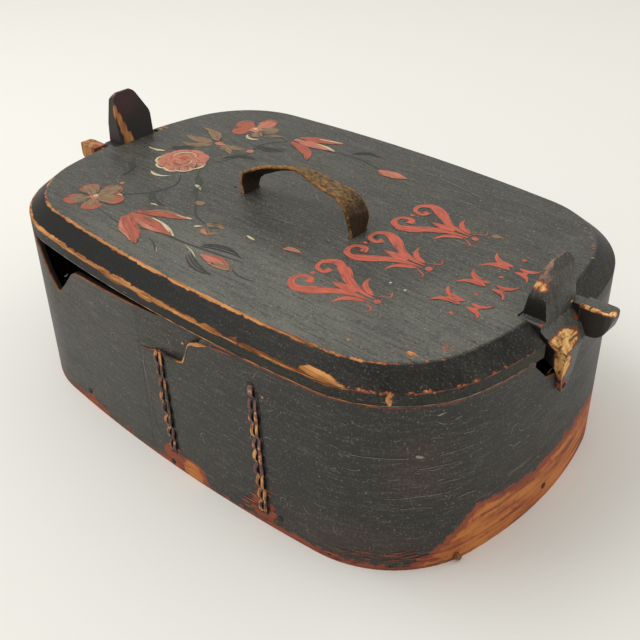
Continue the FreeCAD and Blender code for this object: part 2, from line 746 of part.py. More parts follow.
def bevel(body):
    """Broad bevel all round the lid's top, steeper than it is wide."""
    top = LID_TOP.value
    edges = [f"Edge{k + 1}" for k, edge in enumerate(body.Shape.Edges)
             if abs(edge.BoundBox.ZMin - top) < 1e-6 and abs(edge.BoundBox.ZMax - top) < 1e-6]
    before = body.Shape.Volume
    blank = body.Tip
    feature = body.newObject("PartDesign::Chamfer", "lid_bevel")
    feature.Base = (blank, edges)
    feature.ChamferType = "Two distances"
    feature.Size = S.bevel_rise.value
    feature.setExpression("Size", S.bevel_rise.text)
    feature.Size2 = S.bevel_run.value
    feature.setExpression("Size2", S.bevel_run.text)
    DOC.recompute()
    top_face = max(body.Shape.Faces, key=lambda face: face.CenterOfMass.z)
    if abs(top_face.BoundBox.XMax - (S.half_length - S.bevel_run).value) > 0.01:
        feature.FlipDirection = True
        DOC.recompute()
    if not body.Shape.Volume < before:
        raise ValueError("the bevel cuts nothing")
    return feature


def lid_notch(name, turn):
    """Plain slot in the lid's end for the neck of a post."""
    body = new_body(name)
    sketch = new_sketch(body, "XY_Plane", LID_UNDERSIDE - S.plug_depth - 1)
    inner, far = POST_INNER - S.notch_gap, S.half_length + BEYOND
    half = S.neck_reach + S.notch_gap
    polygon(sketch, [(inner, -half), (far, -half), (far, half), (inner, half)])
    pad(body, sketch, LID_TOP)
    body.Placement = FreeCAD.Placement(Vector(), FreeCAD.Rotation(Vector(0, 0, 1), turn))
    return body


def make_lid_board():
    """Thick board with a bevelled edge, notched at both ends, with slots and pin holes."""
    low = LID_UNDERSIDE - S.plug_depth - 1
    waste = [lid_notch("notch_right", 0), lid_notch("notch_left", 180)]
    for side, near, far in (("right", POST_INNER - S.plug_end, S.half_length),
                            ("left", -S.half_length, S.plug_end - POST_INNER)):
        waste.append(bound_box(f"plug_end_{side}", (near, -S.half_width, low),
                               (far, S.half_width, LID_UNDERSIDE)))
    half = S.strap_width / 2 + S.strap_gap
    for side, x in (("left", S.strap_left_x), ("right", S.strap_right_x)):
        reach = S.strap_thickness / 2 + S.strap_gap
        waste.append(bound_box(f"strap_slot_{side}", (x - reach, S.strap_y - half, low),
                               (x + reach, S.strap_y + half, LID_TOP + 1)))
    for name, x, y in pin_places():
        spot = Vector(x.value, y.value, low.value)
        waste.append(bound_cylinder(name + "_hole", S.pin_radius + S.peg_gap, LID_TOP,
                                    FreeCAD.Placement(spot, FreeCAD.Rotation())))
    return cut("lid_board", lid_blank(), boolean("Part::MultiFuse", "lid_waste", waste))


# ---------------------------------------------------------------- the strap

def pin_places():
    """Name and place of each of the four pins that hold the strap's tails."""
    places = []
    for side, x, sign in (("left", S.strap_left_x, -1), ("right", S.strap_right_x, 1)):
        for row, shift in (("front", -1), ("back", 1)):
            places.append((f"strap_pin_{side}_{row}", x + S.pin_offset * sign,
                           S.strap_y + S.pin_spread * shift / 2))
    return places


def make_strap():
    """Leather strap: an arch, two legs down through the lid and two tails turned out under it."""
    body = new_body("strap_blank")
    leather, half = S.strap_thickness, S.strap_thickness / 2
    underside = LID_UNDERSIDE - S.plug_depth
    low, top = underside - leather, LID_TOP + S.strap_rise
    left, right = S.strap_left_x, S.strap_right_x
    span, rise, bend, arch = right - left, S.strap_rise, S.strap_bend, S.strap_bend * 1.55
    sketch = new_sketch(body, "XZ_Plane", -(S.strap_y + S.strap_width / 2))
    rounded_pad(body, sketch, [
        (left - S.strap_tail, low), (left + half, low),
        (left + half, top - rise * 0.58 - leather * 0.63, bend * 0.68 - leather),
        (left + span * 0.23 + leather * 0.35, top - rise * 0.23 - leather * 0.94, bend * 2),
        (left + span * 0.52, top - leather * 1.03, arch - leather),
        (left + span * 0.76 - leather * 0.16, top - rise * 0.16 - leather, bend * 2),
        (right - span * 0.077 - leather * 0.52, top - rise * 0.21 - leather * 0.95, bend * 0.6 - leather),
        (right - half, top - rise * 0.56 - leather * 0.35, bend * 0.7 - leather),
        (right - half, low), (right + S.strap_tail, low), (right + S.strap_tail, underside),
        (right + half, underside), (right + half, top - rise * 0.56, bend * 0.7),
        (right - span * 0.077, top - rise * 0.21, bend * 0.6),
        (left + span * 0.76, top - rise * 0.16, bend * 2), (left + span * 0.52, top, arch),
        (left + span * 0.23, top - rise * 0.23, bend * 2), (left - half, top - rise * 0.58, bend * 0.68),
        (left - half, underside), (left - S.strap_tail, underside)], S.strap_width)
    holes = [bound_cylinder(name + "_punch", S.pin_radius + S.peg_gap, 4 * S.strap_thickness,
                            FreeCAD.Placement(Vector(x.value, y.value, low.value - 2), FreeCAD.Rotation()))
             for name, x, y in pin_places()]
    return cut("strap_handle", body, boolean("Part::Compound", "strap_punches", holes))


def make_strap_pins():
    """Pins driven from the lid's top through board and tail."""
    low = LID_UNDERSIDE - S.plug_depth - S.strap_thickness
    pins = []
    for name, x, y in pin_places():
        pins.append(whittled_peg(name, S.pin_radius, LID_TOP - low + 0.2,
                                 FreeCAD.Placement(Vector(x.value, y.value, low.value),
                                                   FreeCAD.Rotation())))
    return pins


# ---------------------------------------------------------------- the end posts

def post_front(name, head_height):
    """Front view of a post, padded through: arched head, shoulder, and the broken tail."""
    body = new_body(name + "_front")
    sketch = new_sketch(body, "YZ_Plane", POST_INNER - 5)
    top, half, rise, tip = LID_TOP + head_height, S.post_half_width, head_height, TAIL_TIP
    neck, foot, lid = S.neck_reach, S.tail_foot, LID_HEIGHT
    rounded_pad(body, sketch, [
        (-foot, tip, foot * 0.6), (-foot * 2.6, tip + S.tail_length * 1.1),
        (-neck * 0.45, RIM - lid * 0.11, neck * 0.3), (-neck, RIM + lid * 0.66),
        (-neck, LID_TOP - lid * 0.05, neck * 0.08), (-half * 1.02, LID_TOP - lid * 0.03),
        (-half * 1.1, LID_TOP + rise * 0.44, rise * 0.26),
        (-half * 0.4, top - rise * 0.07, half * 0.6), (half * 0.33, top, half * 0.38),
        (half * 0.8, top - rise * 0.12, half * 0.38), (half * 0.97, LID_TOP + rise * 0.36, rise * 0.34),
        (half * 0.97, LID_TOP - lid * 0.03), (neck, LID_TOP - lid * 0.05, neck * 0.08),
        (neck, RIM + lid * 0.25), (S.lug_near, RIM + lid * 0.08),
        (half * 0.33, RIM - lid * 0.11, half * 0.25),
        (foot * 3, tip + S.tail_length * 0.8, foot * 2.4), (foot, tip, foot * 0.6)],
        S.post_set_in + 20)
    return body


def post_side(name, head_height):
    """Side view of a post, padded through: wedge-shaped head, neck, and tail over the wall."""
    body = new_body(name + "_side")
    sketch = new_sketch(body, "XZ_Plane", as_size(-BEYOND))
    top, tip, lid, drop = LID_TOP + head_height, TAIL_TIP, LID_HEIGHT, S.tail_length
    crest = POST_INNER + S.head_lean
    wall, thin = S.half_length + S.tail_gap, S.tail_tip_thickness
    rounded_pad(body, sketch, [
        (POST_INNER, RIM - lid * 0.17, S.post_depth * 0.14), (POST_INNER, LID_TOP),
        (crest, top, S.head_edge * 0.25), (crest + S.head_edge, top - S.head_slope, S.head_edge * 0.3),
        (POST_OUTER, LID_TOP + lid * 0.06), (POST_OUTER, LID_TOP - lid * 0.22, lid * 0.08),
        (wall + thin * 0.9, RIM + lid * 0.44), (wall + S.tail_thickness, RIM, lid * 0.27),
        (wall + thin, tip + drop * 0.6), (wall + thin, tip), (wall + thin * 0.3, tip),
        (wall, tip + drop * 0.45), (wall, MOUTH_FLOOR + drop * 0.15, S.mouth_depth * 0.15)],
        as_size(2 * BEYOND))
    return body


def post_lug(name, shift, drop):
    """Thumb lug: flat on top, rounded underneath and at its end."""
    body = new_body(name + "_lug_side")
    near = S.lug_near + shift
    sketch = new_sketch(body, "XZ_Plane", -(near + S.lug_width))
    low, top = LID_UNDERSIDE + S.lug_rise, LID_TOP - drop
    tall, wide = top - low, S.lug_width
    root, end = S.half_length + S.notch_gap, POST_OUTER + S.lug_length
    rounded_pad(body, sketch, [
        (root, low), (end - wide * 0.36, low, tall * 0.58), (end, top - tall * 0.2, tall * 0.15),
        (end, top, tall * 0.07), (root, top)], wide)
    plan = new_body(name + "_lug_plan")
    outline = new_sketch(plan, "XY_Plane", low - 1)
    far = near + wide
    rounded_pad(plan, outline, [
        (root - 1, near), (end + 0.5, near, wide * 0.45), (end + 0.5, far, wide * 0.36),
        (root - 1, far)], tall + 2)
    return boolean("Part::MultiCommon", name + "_lug", [body, plan])


def make_post(name, turn, head_height, shift, drop):
    """A post is sawn to its front and side views, then gets its lug and its peg hole."""
    plank = boolean("Part::MultiCommon", name + "_plank",
                    [post_front(name, head_height), post_side(name, head_height)])
    half, edge = S.post_half_width, S.half_length + S.notch_gap
    low, high = LID_UNDERSIDE + S.lug_rise, LID_TOP - drop - 1
    root = bound_box(name + "_lug_root", (POST_OUTER - 1, half - S.lug_root, low),
                     (edge + S.lug_root, S.neck_reach, high))
    side = bound_box(name + "_lug_foot", (edge, half - S.lug_root, low),
                     (edge + S.lug_root, S.lug_near + shift + S.lug_width / 2, high))
    joined = boolean("Part::MultiFuse", name + "_joined", [plank, post_lug(name, shift, drop), root, side])
    hole = bound_cylinder(name + "_peg_hole", S.pivot_radius + S.pivot_gap, as_size(BEYOND),
                          pointing(Vector(S.half_length.value - 10, 0, PIVOT_HEIGHT.value),
                                   Vector(1, 0, 0)))
    post = cut(name, joined, hole)
    post.Placement = FreeCAD.Placement(Vector(), FreeCAD.Rotation(Vector(0, 0, 1), turn))
    return post


def make_post_peg(name, sign):
    """Peg on which a post's tail flexes, driven through the tail into the wall."""
    start = Vector(sign * (S.half_length + S.tail_gap + S.tail_tip_thickness + 0.6).value, 0,
                   PIVOT_HEIGHT.value)
    length = S.tail_gap + S.tail_tip_thickness + 0.6 + S.wall_thickness + 2
    return whittled_peg(name, S.pivot_radius, length, pointing(start, Vector(-sign, 0, 0)))


# ---------------------------------------------------------------- the box

def make_all():
    rows, slits = make_lacing()
    nodes = [make_wall_band(slits)] + rows
    nodes.append(make_bottom_board())
    nodes += make_bottom_pegs()
    nodes.append(make_lid_board())
    nodes.append(make_strap())
    nodes += make_strap_pins()
    zero = as_size(0)
    nodes.append(make_post("post_right", 0, S.head_right_height, zero, zero))
    nodes.append(make_post("post_left", 180, S.head_left_height, S.lug_left_drop, S.lug_left_drop))
    nodes.append(make_post_peg("post_peg_right", 1))
    nodes.append(make_post_peg("post_peg_left", -1))
    return nodes


def check_document():
    DOC.recompute()
    for obj in DOC.Objects:
        if "Invalid" in obj.State or "Error" in obj.State:
            raise ValueError(f"{obj.Name} did not build: {obj.State}")


def write_parts(nodes):
    for node in nodes:
        if node.Shape.isNull() or not node.Shape.isValid():
            raise ValueError(f"{node.Label} is not a valid solid")
    os.makedirs("parts", exist_ok=True)
    for node in nodes:
        node.Shape.exportStep(f"parts/{node.Label}.step")
        solids = len(node.Shape.Solids)
        print(f"{node.Label}: {solids} solid(s), {node.Shape.Volume / 1000:.1f} cm3")


def main():
    nodes = make_all()
    check_document()
    write_parts(nodes)


main()
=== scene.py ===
"""Finish of a bentwood tine box: worn black-green paint, painted flowers, root lacing and a leather strap."""
import math
import random
from functools import partial, reduce

import bpy
from mathutils import Matrix, Vector


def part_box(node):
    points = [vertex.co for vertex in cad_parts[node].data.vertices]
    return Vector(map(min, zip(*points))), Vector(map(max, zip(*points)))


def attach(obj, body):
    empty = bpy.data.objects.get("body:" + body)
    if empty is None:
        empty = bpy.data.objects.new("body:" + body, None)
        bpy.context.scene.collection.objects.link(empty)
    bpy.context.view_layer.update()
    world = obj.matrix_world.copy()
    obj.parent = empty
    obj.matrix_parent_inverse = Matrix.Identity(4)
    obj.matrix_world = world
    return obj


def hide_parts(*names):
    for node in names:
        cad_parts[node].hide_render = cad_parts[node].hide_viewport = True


bl_info = {
    "name": "Tine box finish",
    "version": (1, 0, 0),
    "blender": (4, 5, 0),
    "location": "View3D > Sidebar > Tine box",
    "description": "Dresses a bentwood box with worn paint, flowers, root lacing and a leather strap",
    "category": "Object",
}

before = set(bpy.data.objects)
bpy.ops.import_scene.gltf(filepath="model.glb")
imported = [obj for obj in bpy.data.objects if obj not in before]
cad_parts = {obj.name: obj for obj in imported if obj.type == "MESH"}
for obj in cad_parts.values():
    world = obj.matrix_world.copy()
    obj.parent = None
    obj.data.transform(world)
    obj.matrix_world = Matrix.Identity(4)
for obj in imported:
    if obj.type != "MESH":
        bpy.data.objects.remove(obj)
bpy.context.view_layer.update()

MM = 0.001
LID_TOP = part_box("lid_board")[1][2] / MM
# the outline in millimetres: how far back a side's or an end's arc has its centre, and the radii
SIDE_CENTRE, SIDE_RADIUS = 996, 1123
END_CENTRE, END_RADIUS = 72.6, 262.6
CORNER_X, CORNER_Y, CORNER_RADIUS = 108.4, 45.4, 76
# walking round from the front's middle: where each arc ends, its centre and radius, where and at what angle it starts
ARCS = ((116.5, 0, SIDE_CENTRE, SIDE_RADIUS, 0, -90), (209.3, CORNER_X, -CORNER_Y, CORNER_RADIUS, 116.5, -84.06),
        (math.inf, -END_CENTRE, 0, END_RADIUS, 209.3, -14.08))
# the height of the lid's lower edge and of its bevel's lower edge, and how far in the bevel runs
LID_FOOT, BEVEL_FOOT, BEVEL_RUN = 116, 124.1, 12.2
# the rows of lacing: where they cross the height they lean about, their lean in degrees, and the pitch
ROW_LEFT, ROW_RIGHT, ROW_MIDDLE, ROW_LEAN, STITCH_STEP = 0.5, 77, 57.85, 2.6, 9.2

# the strap's middle line
STRAP_Y = -6

CAMERA_PLACE = (0.37235872, -0.38835334, 0.40476060)
CAMERA_TURN = ((0.74237789, -0.35974813, 0.5652047), (0.66983168, 0.41636583, -0.61478859),
               (-0.01416288, 0.83499747, 0.55007148))

VECTOR = "ShaderNodeVectorMath"
SPLIT = "ShaderNodeSeparateXYZ"
JOIN = "ShaderNodeCombineXYZ"
RANGE = "ShaderNodeMapRange"
NOISE = "ShaderNodeTexNoise"
MIX = "ShaderNodeMix"

# dust rubbed into the paint and its palest specks, and the paint under the marks on the lid's lip and on the wall
RUBBED, SPECK, LIP, WALL = "#66635a", "#a39d8d", "#2c2b27", "#322f29"


# ---------- colours and nodes

def linear(text):
    """An sRGB hex colour as linear red, green, blue and alpha."""
    parts = [int(text[k:k + 2], 16) / 255 for k in (1, 3, 5)]
    return tuple(c / 12.92 if c <= 0.04045 else ((c + 0.055) / 1.055) ** 2.4 for c in parts) + (1.0,)


def colour(name, text, words):
    return bpy.props.FloatVectorProperty(name=name, description=words, default=linear(text), size=4,
                                         subtype="COLOR", min=0, max=1)


def length(name, value, words):
    """A size in millimetres, kept in metres."""
    return bpy.props.FloatProperty(name=name, description=words, default=value * MM, unit="LENGTH",
                                   subtype="DISTANCE", precision=4)


def add_node(tree, kind, *inputs, **settings):
    """Adds one node. A kind in capitals is what a Math node does; settings are the node's properties.

    Inputs are values, hex colours, sockets, nodes or lists of those, in order or by name.
    """
    if kind.isupper():
        kind, settings["operation"] = "ShaderNodeMath", kind
    node = tree.nodes.new(kind)
    for name, value in settings.items():
        setattr(node, name, value)
    if inputs and isinstance(inputs[0], dict):
        given = [(node.inputs[name], value) for name, value in inputs[0].items()]
    else:
        given = zip([socket for socket in node.inputs if socket.enabled], inputs)
    for socket, value in given:
        for one in value if isinstance(value, list) else [value]:
            if isinstance(one, bpy.types.Node):
                one = next(out for out in one.outputs if out.enabled)
            if isinstance(one, bpy.types.NodeSocket):
                tree.links.new(one, socket)
            else:
                socket.default_value = linear(one) if isinstance(one, str) and one.startswith("#") else one
    return node


def coats(add, base, *layers):
    """Colours laid over each other, each where its mask is."""
    for mask, tint in layers:
        base = add(MIX, mask, base, tint, data_type="RGBA")
    return base


def alike(add, bases, *layers):
    """The same coats over several bases; a layer has its mask and then a colour for each base."""
    return [coats(add, base, *((mask, tints[k]) for mask, *tints in layers)) for k, base in enumerate(bases)]


def fold(add, what, *fields):
    """Several fields brought together two by two, such as their product or the highest of them."""
    return reduce(partial(add, what), fields)


def finish(add, tint, rough, height, depth, specular=0.5):
    """Shader and bump of a finished surface; depth is the relief in metres."""
    bump = add("ShaderNodeBump", {"Height": height, "Distance": depth, "Strength": 1.0})
    skin = add("ShaderNodeBsdfPrincipled",
               {"Base Color": tint, "Roughness": rough, "Normal": bump, "Specular IOR Level": specular})
    add("ShaderNodeOutputMaterial", skin)


def new_material(name):
    """An empty material, the function that adds its nodes, and the piece's own place and normal."""
    material = bpy.data.materials.new(name)
    material.use_nodes = True
    material.node_tree.nodes.clear()
    add = partial(add_node, material.node_tree)
    coords = add("ShaderNodeTexCoord").outputs
    return material, add, coords["Object"], coords["Normal"]


def drawn_out(add, place, stretch, scale, detail):
    """Noise drawn out along one axis, as brush marks and wood grain are."""
    turned = add("ShaderNodeMapping", {"Vector": place, "Scale": stretch})
    return add(NOISE, turned, scale, detail, 0.6)


def spots(add, place, *patches):
    """The highest of several soft ellipsoid patches, each (centre, reach, top) in millimetres; 0 outside."""
    fields = []
    for centre, reach, top in patches:
        off = add(VECTOR, place, tuple(c * MM for c in centre), operation="SUBTRACT")
        off = add(VECTOR, off, tuple(r * MM for r in reach), operation="DIVIDE")
        far = add(VECTOR, off, operation="LENGTH")
        fields.append(add("MULTIPLY", add(RANGE, far, 1.2, 0.4, interpolation_type="SMOOTHSTEP"), top))
    return fold(add, "MAXIMUM", *fields)


def inset(add, place):
    """How far a point is in from the box's outline, in metres: bowed sides, ends and rounder corners."""
    flat = add(VECTOR, place, (1, 1, 0), operation="MULTIPLY")
    flat = add(VECTOR, flat, operation="ABSOLUTE")
    x, y, _ = add(SPLIT, flat).outputs
    edges = []
    for centre, radius in (((0, SIDE_CENTRE * MM, 0), SIDE_RADIUS), ((END_CENTRE * MM, 0, 0), END_RADIUS)):
        arm = add(VECTOR, flat, centre, operation="ADD")
        edges.append(add("SUBTRACT", radius * MM, add(VECTOR, arm, operation="LENGTH")))
    arm = add(VECTOR, flat, (CORNER_X * MM, CORNER_Y * MM, 0), operation="DISTANCE")
    # a corner's arc starts a little past its centre on both sides
    past = [add("GREATER_THAN", x, (CORNER_X + 6.6) * MM), add("GREATER_THAN", y, (CORNER_Y + 15.4) * MM)]
    return add(MIX, add("MULTIPLY", *past), add("MINIMUM", *edges), add("SUBTRACT", CORNER_RADIUS * MM, arm),
               data_type="FLOAT")


def new_piece(name, verts=(), faces=(), uvs=None, **fields):
    """A mesh object in the scene; the UVs and the fields have a value for each point."""
    mesh = bpy.data.meshes.new(name)
    mesh.from_pydata(verts, [], faces)
    if uvs:
        layer = mesh.uv_layers.new(name="Along")
        for loop in mesh.loops:
            layer.data[loop.index].uv = uvs[loop.vertex_index]
    for field, values in fields.items():
        mesh.attributes.new(field, "FLOAT", "POINT").data.foreach_set("value", values)
    piece = bpy.data.objects.new(name, mesh)
    bpy.context.scene.collection.objects.link(piece)
    return piece


def dress(node, material):
    """Puts a finish into all of a CAD node's material slots."""
    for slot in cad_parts[node].material_slots:
        slot.material = material


# ---------- what a user would change

class TinePaint(bpy.types.PropertyGroup):
    ground: colour("Ground", "#2f2f2a", "Black-green paint of the box")
    haze: colour("Haze", "#4b4a42", "Where the paint is rubbed thin and grey")
    primer: colour("Primer", "#85402a", "Red-brown undercoat under the paint")
    wood: colour("Bare wood", "#d0955a", "Wood where the paint is gone")
    wood_dark: colour("Dark wood", "#7c4a24", "Dirty or charred grain of bare wood")
    inside: colour("Inside", "#8d6a46", "Unpainted wood inside the box")
    relief: length("Paint thickness", 0.15, "Step from the paint down to bare wood")


class TineLacing(bpy.types.PropertyGroup):
    pitch: length("Stitch pitch", STITCH_STEP, "From one stitch to the next")
    width: length("Stitch width", 7.2, "Over both strands of a stitch")
    root_width: length("Root width", 2.8, "Across one strand")
    bar_width: length("Bar width", 4.2, "Across the last plain strand of a row")
    root_thickness: length("Root thickness", 1.3, "Through one strand")
    inset: length("Inset", 7.9, "From the wall's face to the strand inside")
    root_colour: colour("Root", "#dd9f5c", "Split root")
    stain: colour("Stain", "#2a1a1c", "Paint and dirt on the root")


class TineStrap(bpy.types.PropertyGroup):
    width: length("Strap width", 15, "Across the strap")
    thickness: length("Strap thickness", 3, "Through the leather")
    hide: colour("Hide", "#94744b", "Rough upper side of the leather")
    core: colour("Cut edge", "#b98148", "Worn cut edge of the leather")
    dark: colour("Handled", "#2a1c12", "Where hands and dirt have blackened it")


class TineFlowers(bpy.types.PropertyGroup):
    red: colour("Brick red", "#ad563c", "Petals")
    salmon: colour("Salmon", "#c0755a", "Rose and buds")
    ochre: colour("Ochre", "#8a6c4c", "Leaves and petals")
    cream: colour("Cream", "#d2c09c", "Highlights")
    stem: colour("Stem", "#34352f", "Dark stems and leaves")
    scroll: colour("Scroll red", "#c45c44", "Scroll ornament")
    lift: length("Lift", 0.08, "Height of the first stroke over the board")


class TineStage(bpy.types.PropertyGroup):
    lens: bpy.props.FloatProperty(name="Lens", description="Focal length", default=52.569, unit="CAMERA")
    floor: colour("Floor", "#ebeae4", "Pale paper the box stands on")
    key: bpy.props.FloatProperty(name="Key", description="Power of the large lamp", default=13, unit="POWER")
    fill: bpy.props.FloatProperty(name="Fill", description="Power of the fill lamp", default=3, unit="POWER")


# ---------- the finishes
# Places are in metres. A RANGE has where its field starts and ends, and then the values there if not 0 and 1.

def paint_over_wood(material, add, place, wear, ground, haze, along, bare=None, dirt=None, raw_from=0.62,
                    torn=None, timbers=None, specular=0.5, flecks=(RUBBED, SPECK)):
    """Oil paint over red-brown primer over softwood, rubbed through where wear is high.

    The eye sees a satin, unevenly dark ground with fine brush marks along the board, pale specks of
    dust and chips, and ragged edges that go from black through red-brown to orange wood.
    """
    paint = bpy.context.scene.tine_paint
    light_wood, dark_wood = timbers or (paint.wood, paint.wood_dark)
    # blotches about 60 mm across, chips 2 to 6 mm, specks of about 1 mm
    blotch = add(NOISE, place, 17, 3.0, 0.5)
    chips = add(NOISE, place, 210, 6.0, 0.68)
    specks = add(NOISE, place, 900, 2.0, 0.5)
    brush = drawn_out(add, place, along, 60, 5.0)
    grain = drawn_out(add, place, along, 260, 3.0)
    # dust ground into the brush marks, about 1 mm apart, coarser than real so that it shows
    grit = add(NOISE, place, 760, 3.0, 0.75)
    combed = drawn_out(add, place, along, 700, 4.0)

    # paint: thin haze in the blotches and along the brush marks
    thin = add(RANGE, add("ADD", blotch, brush), 0.72, 1.3)
    dusty = add("ADD", grit, combed)
    dark = add(RANGE, dusty, 0.99, 0.74, 0, 0.8)
    pale = add(RANGE, dusty, 1.03, 1.30, 0, 0.6)
    pits = add("MULTIPLY", add(RANGE, chips, 0.46, 0.30), 0.55)
    dust = add("MULTIPLY", add(RANGE, specks, 0.62, 0.76), 0.6)
    skin = coats(add, ground, (thin, haze), (dark, "#171613"), (pale, flecks[0]), (pits, "#1c1d19"),
                 (dust, flecks[1]))

    # how far the rubbing has gone, with a ragged edge
    gone = fold(add, "ADD", wear, add("MULTIPLY_ADD", chips, 1.1, -0.55), add("MULTIPLY_ADD", grain, 0.7, -0.35))
    red = add(RANGE, gone, 0.40, 0.52)
    raw = add(RANGE, gone, raw_from, raw_from + 0.18)

    # wood: softwood rings 1 to 2 mm apart, seen along the board, with dirt in the pores
    rings = add(RANGE, grain, 0.38, 0.62)
    pores = add("MULTIPLY", add(RANGE, grain, 0.44, 0.34), 0.35)
    if torn:
        pores = add("MAXIMUM", pores, torn)
    timber = coats(add, dark_wood, (rings, light_wood), (pores, "#21160f"))
    primer = coats(add, paint.primer, (pits, "#3b1f16"), (rings, "#93472c"))
    tint = coats(add, skin, (red, primer), (raw, timber))
    if bare:
        tint = coats(add, tint, (bare, coats(add, "#5d4530", (rings, paint.inside), (pores, "#33251a"))))
    if dirt:
        tint = coats(add, tint, (dirt, "#18120e"))

    rough = add(MIX, red, add(RANGE, thin, 0, 1, 0.40, 0.58), 0.78, data_type="FLOAT")
    height = add("MULTIPLY_ADD", red, -0.8, 0.8)
    for field, share in ((brush, 0.45), (grain, 0.35), (chips, 0.35), (dusty, 0.25)):
        height = add("MULTIPLY_ADD", field, share, height)
    finish(add, tint, rough, height, paint.relief, specular)
    return material


def wall_paint():
    """Paint of the bent wall: worn through along the foot, the rim, the cut edges and under the lacing."""
    material, add, place, normal = new_material("Worn black-green oil paint on bent pine, wall")
    x, y, z = add(SPLIT, place).outputs

    # foot: a ragged band, low at the left and up to 20 mm at the right end
    limit = add("MULTIPLY_ADD", add(NOISE, place, 14, 3.0), 0.026, -0.007)
    climb = add("ADD", add(RANGE, y, -0.091, -0.062, -0.001, 0.024), add(RANGE, y, -0.03, 0.06, 0, 0.006))
    climb = add("MULTIPLY", add(RANGE, x, 0.13, 0.172), climb)
    under = add("SUBTRACT", add("ADD", limit, climb), z)
    # only the primer shows along the front, bare wood at the right end
    foot = add("MULTIPLY", add(RANGE, under, -0.008, 0.006), add(RANGE, x, 0.155, 0.173, 0.66, 1.0))

    # rim and cut edges: their faces don't look out of the wall
    side = add(VECTOR, place, operation="ABSOLUTE")
    side = add(VECTOR, side, (CORNER_X * MM, CORNER_Y * MM, 9), operation="SUBTRACT")
    side = add(VECTOR, side, (0, 0, 0), operation="MAXIMUM")
    side = add(VECTOR, side, operation="NORMALIZE")
    outward = add(VECTOR, side, add(VECTOR, place, operation="SIGN"), operation="MULTIPLY")
    out = add(VECTOR, normal, outward, operation="DOT_PRODUCT")
    cut = add(RANGE, add("ABSOLUTE", out), 0.75, 0.45)
    # only the outer arris of a cut edge is rubbed bright, the rest of it is dark with dirt
    edge = add("MULTIPLY", cut, add(RANGE, inset(add, place), 0.0019, 0.0005))
    dirt = add("MULTIPLY", add("SUBTRACT", cut, edge), add(RANGE, z, 0.060, 0.070))
    high = add(RANGE, z, 0.1140, 0.1157, 0, 0.62)
    rubs = spots(add, place, ((1, -127, 9), (13, 14, 10), 0.66), ((78, -124, 12), (12, 14, 15), 0.74),
                 ((19, -127, 5), (14, 14, 11), 1.12), ((-104, -120, 115), (12, 14, 3), 1.1),
                 ((188, 20, 8), (26, 76, 22), 1.15))
    wear = fold(add, "MAXIMUM", foot, add("MULTIPLY", edge, 1.2), high, rubs)
    bare = add(RANGE, out, -0.3, -0.6)

    # painted shade: blacker towards the right corner, where the wall turns away from the light, and warmed by the
    # primer that shines through in two places
    deep = add(RANGE, x, -0.04, 0.10, 0, 1.0)
    warm = spots(add, place, ((166, -94, 74), (18, 26, 26), 0.45), ((140, -112, 16), (52, 40, 20), 0.45))
    ground, haze = alike(add, ("#292722", "#413e37"), (deep, "#11100e", "#23211e"), (warm, "#38201a", "#472e25"))
    # brush marks run round the wall: short along Z, long along X and Y
    return paint_over_wood(material, add, place, wear, ground, haze, (0.10, 0.10, 1.0), bare, dirt,
                           raw_from=0.80, timbers=("#c27838", "#9c4e24"), flecks=("#5f5b50", "#989280"))


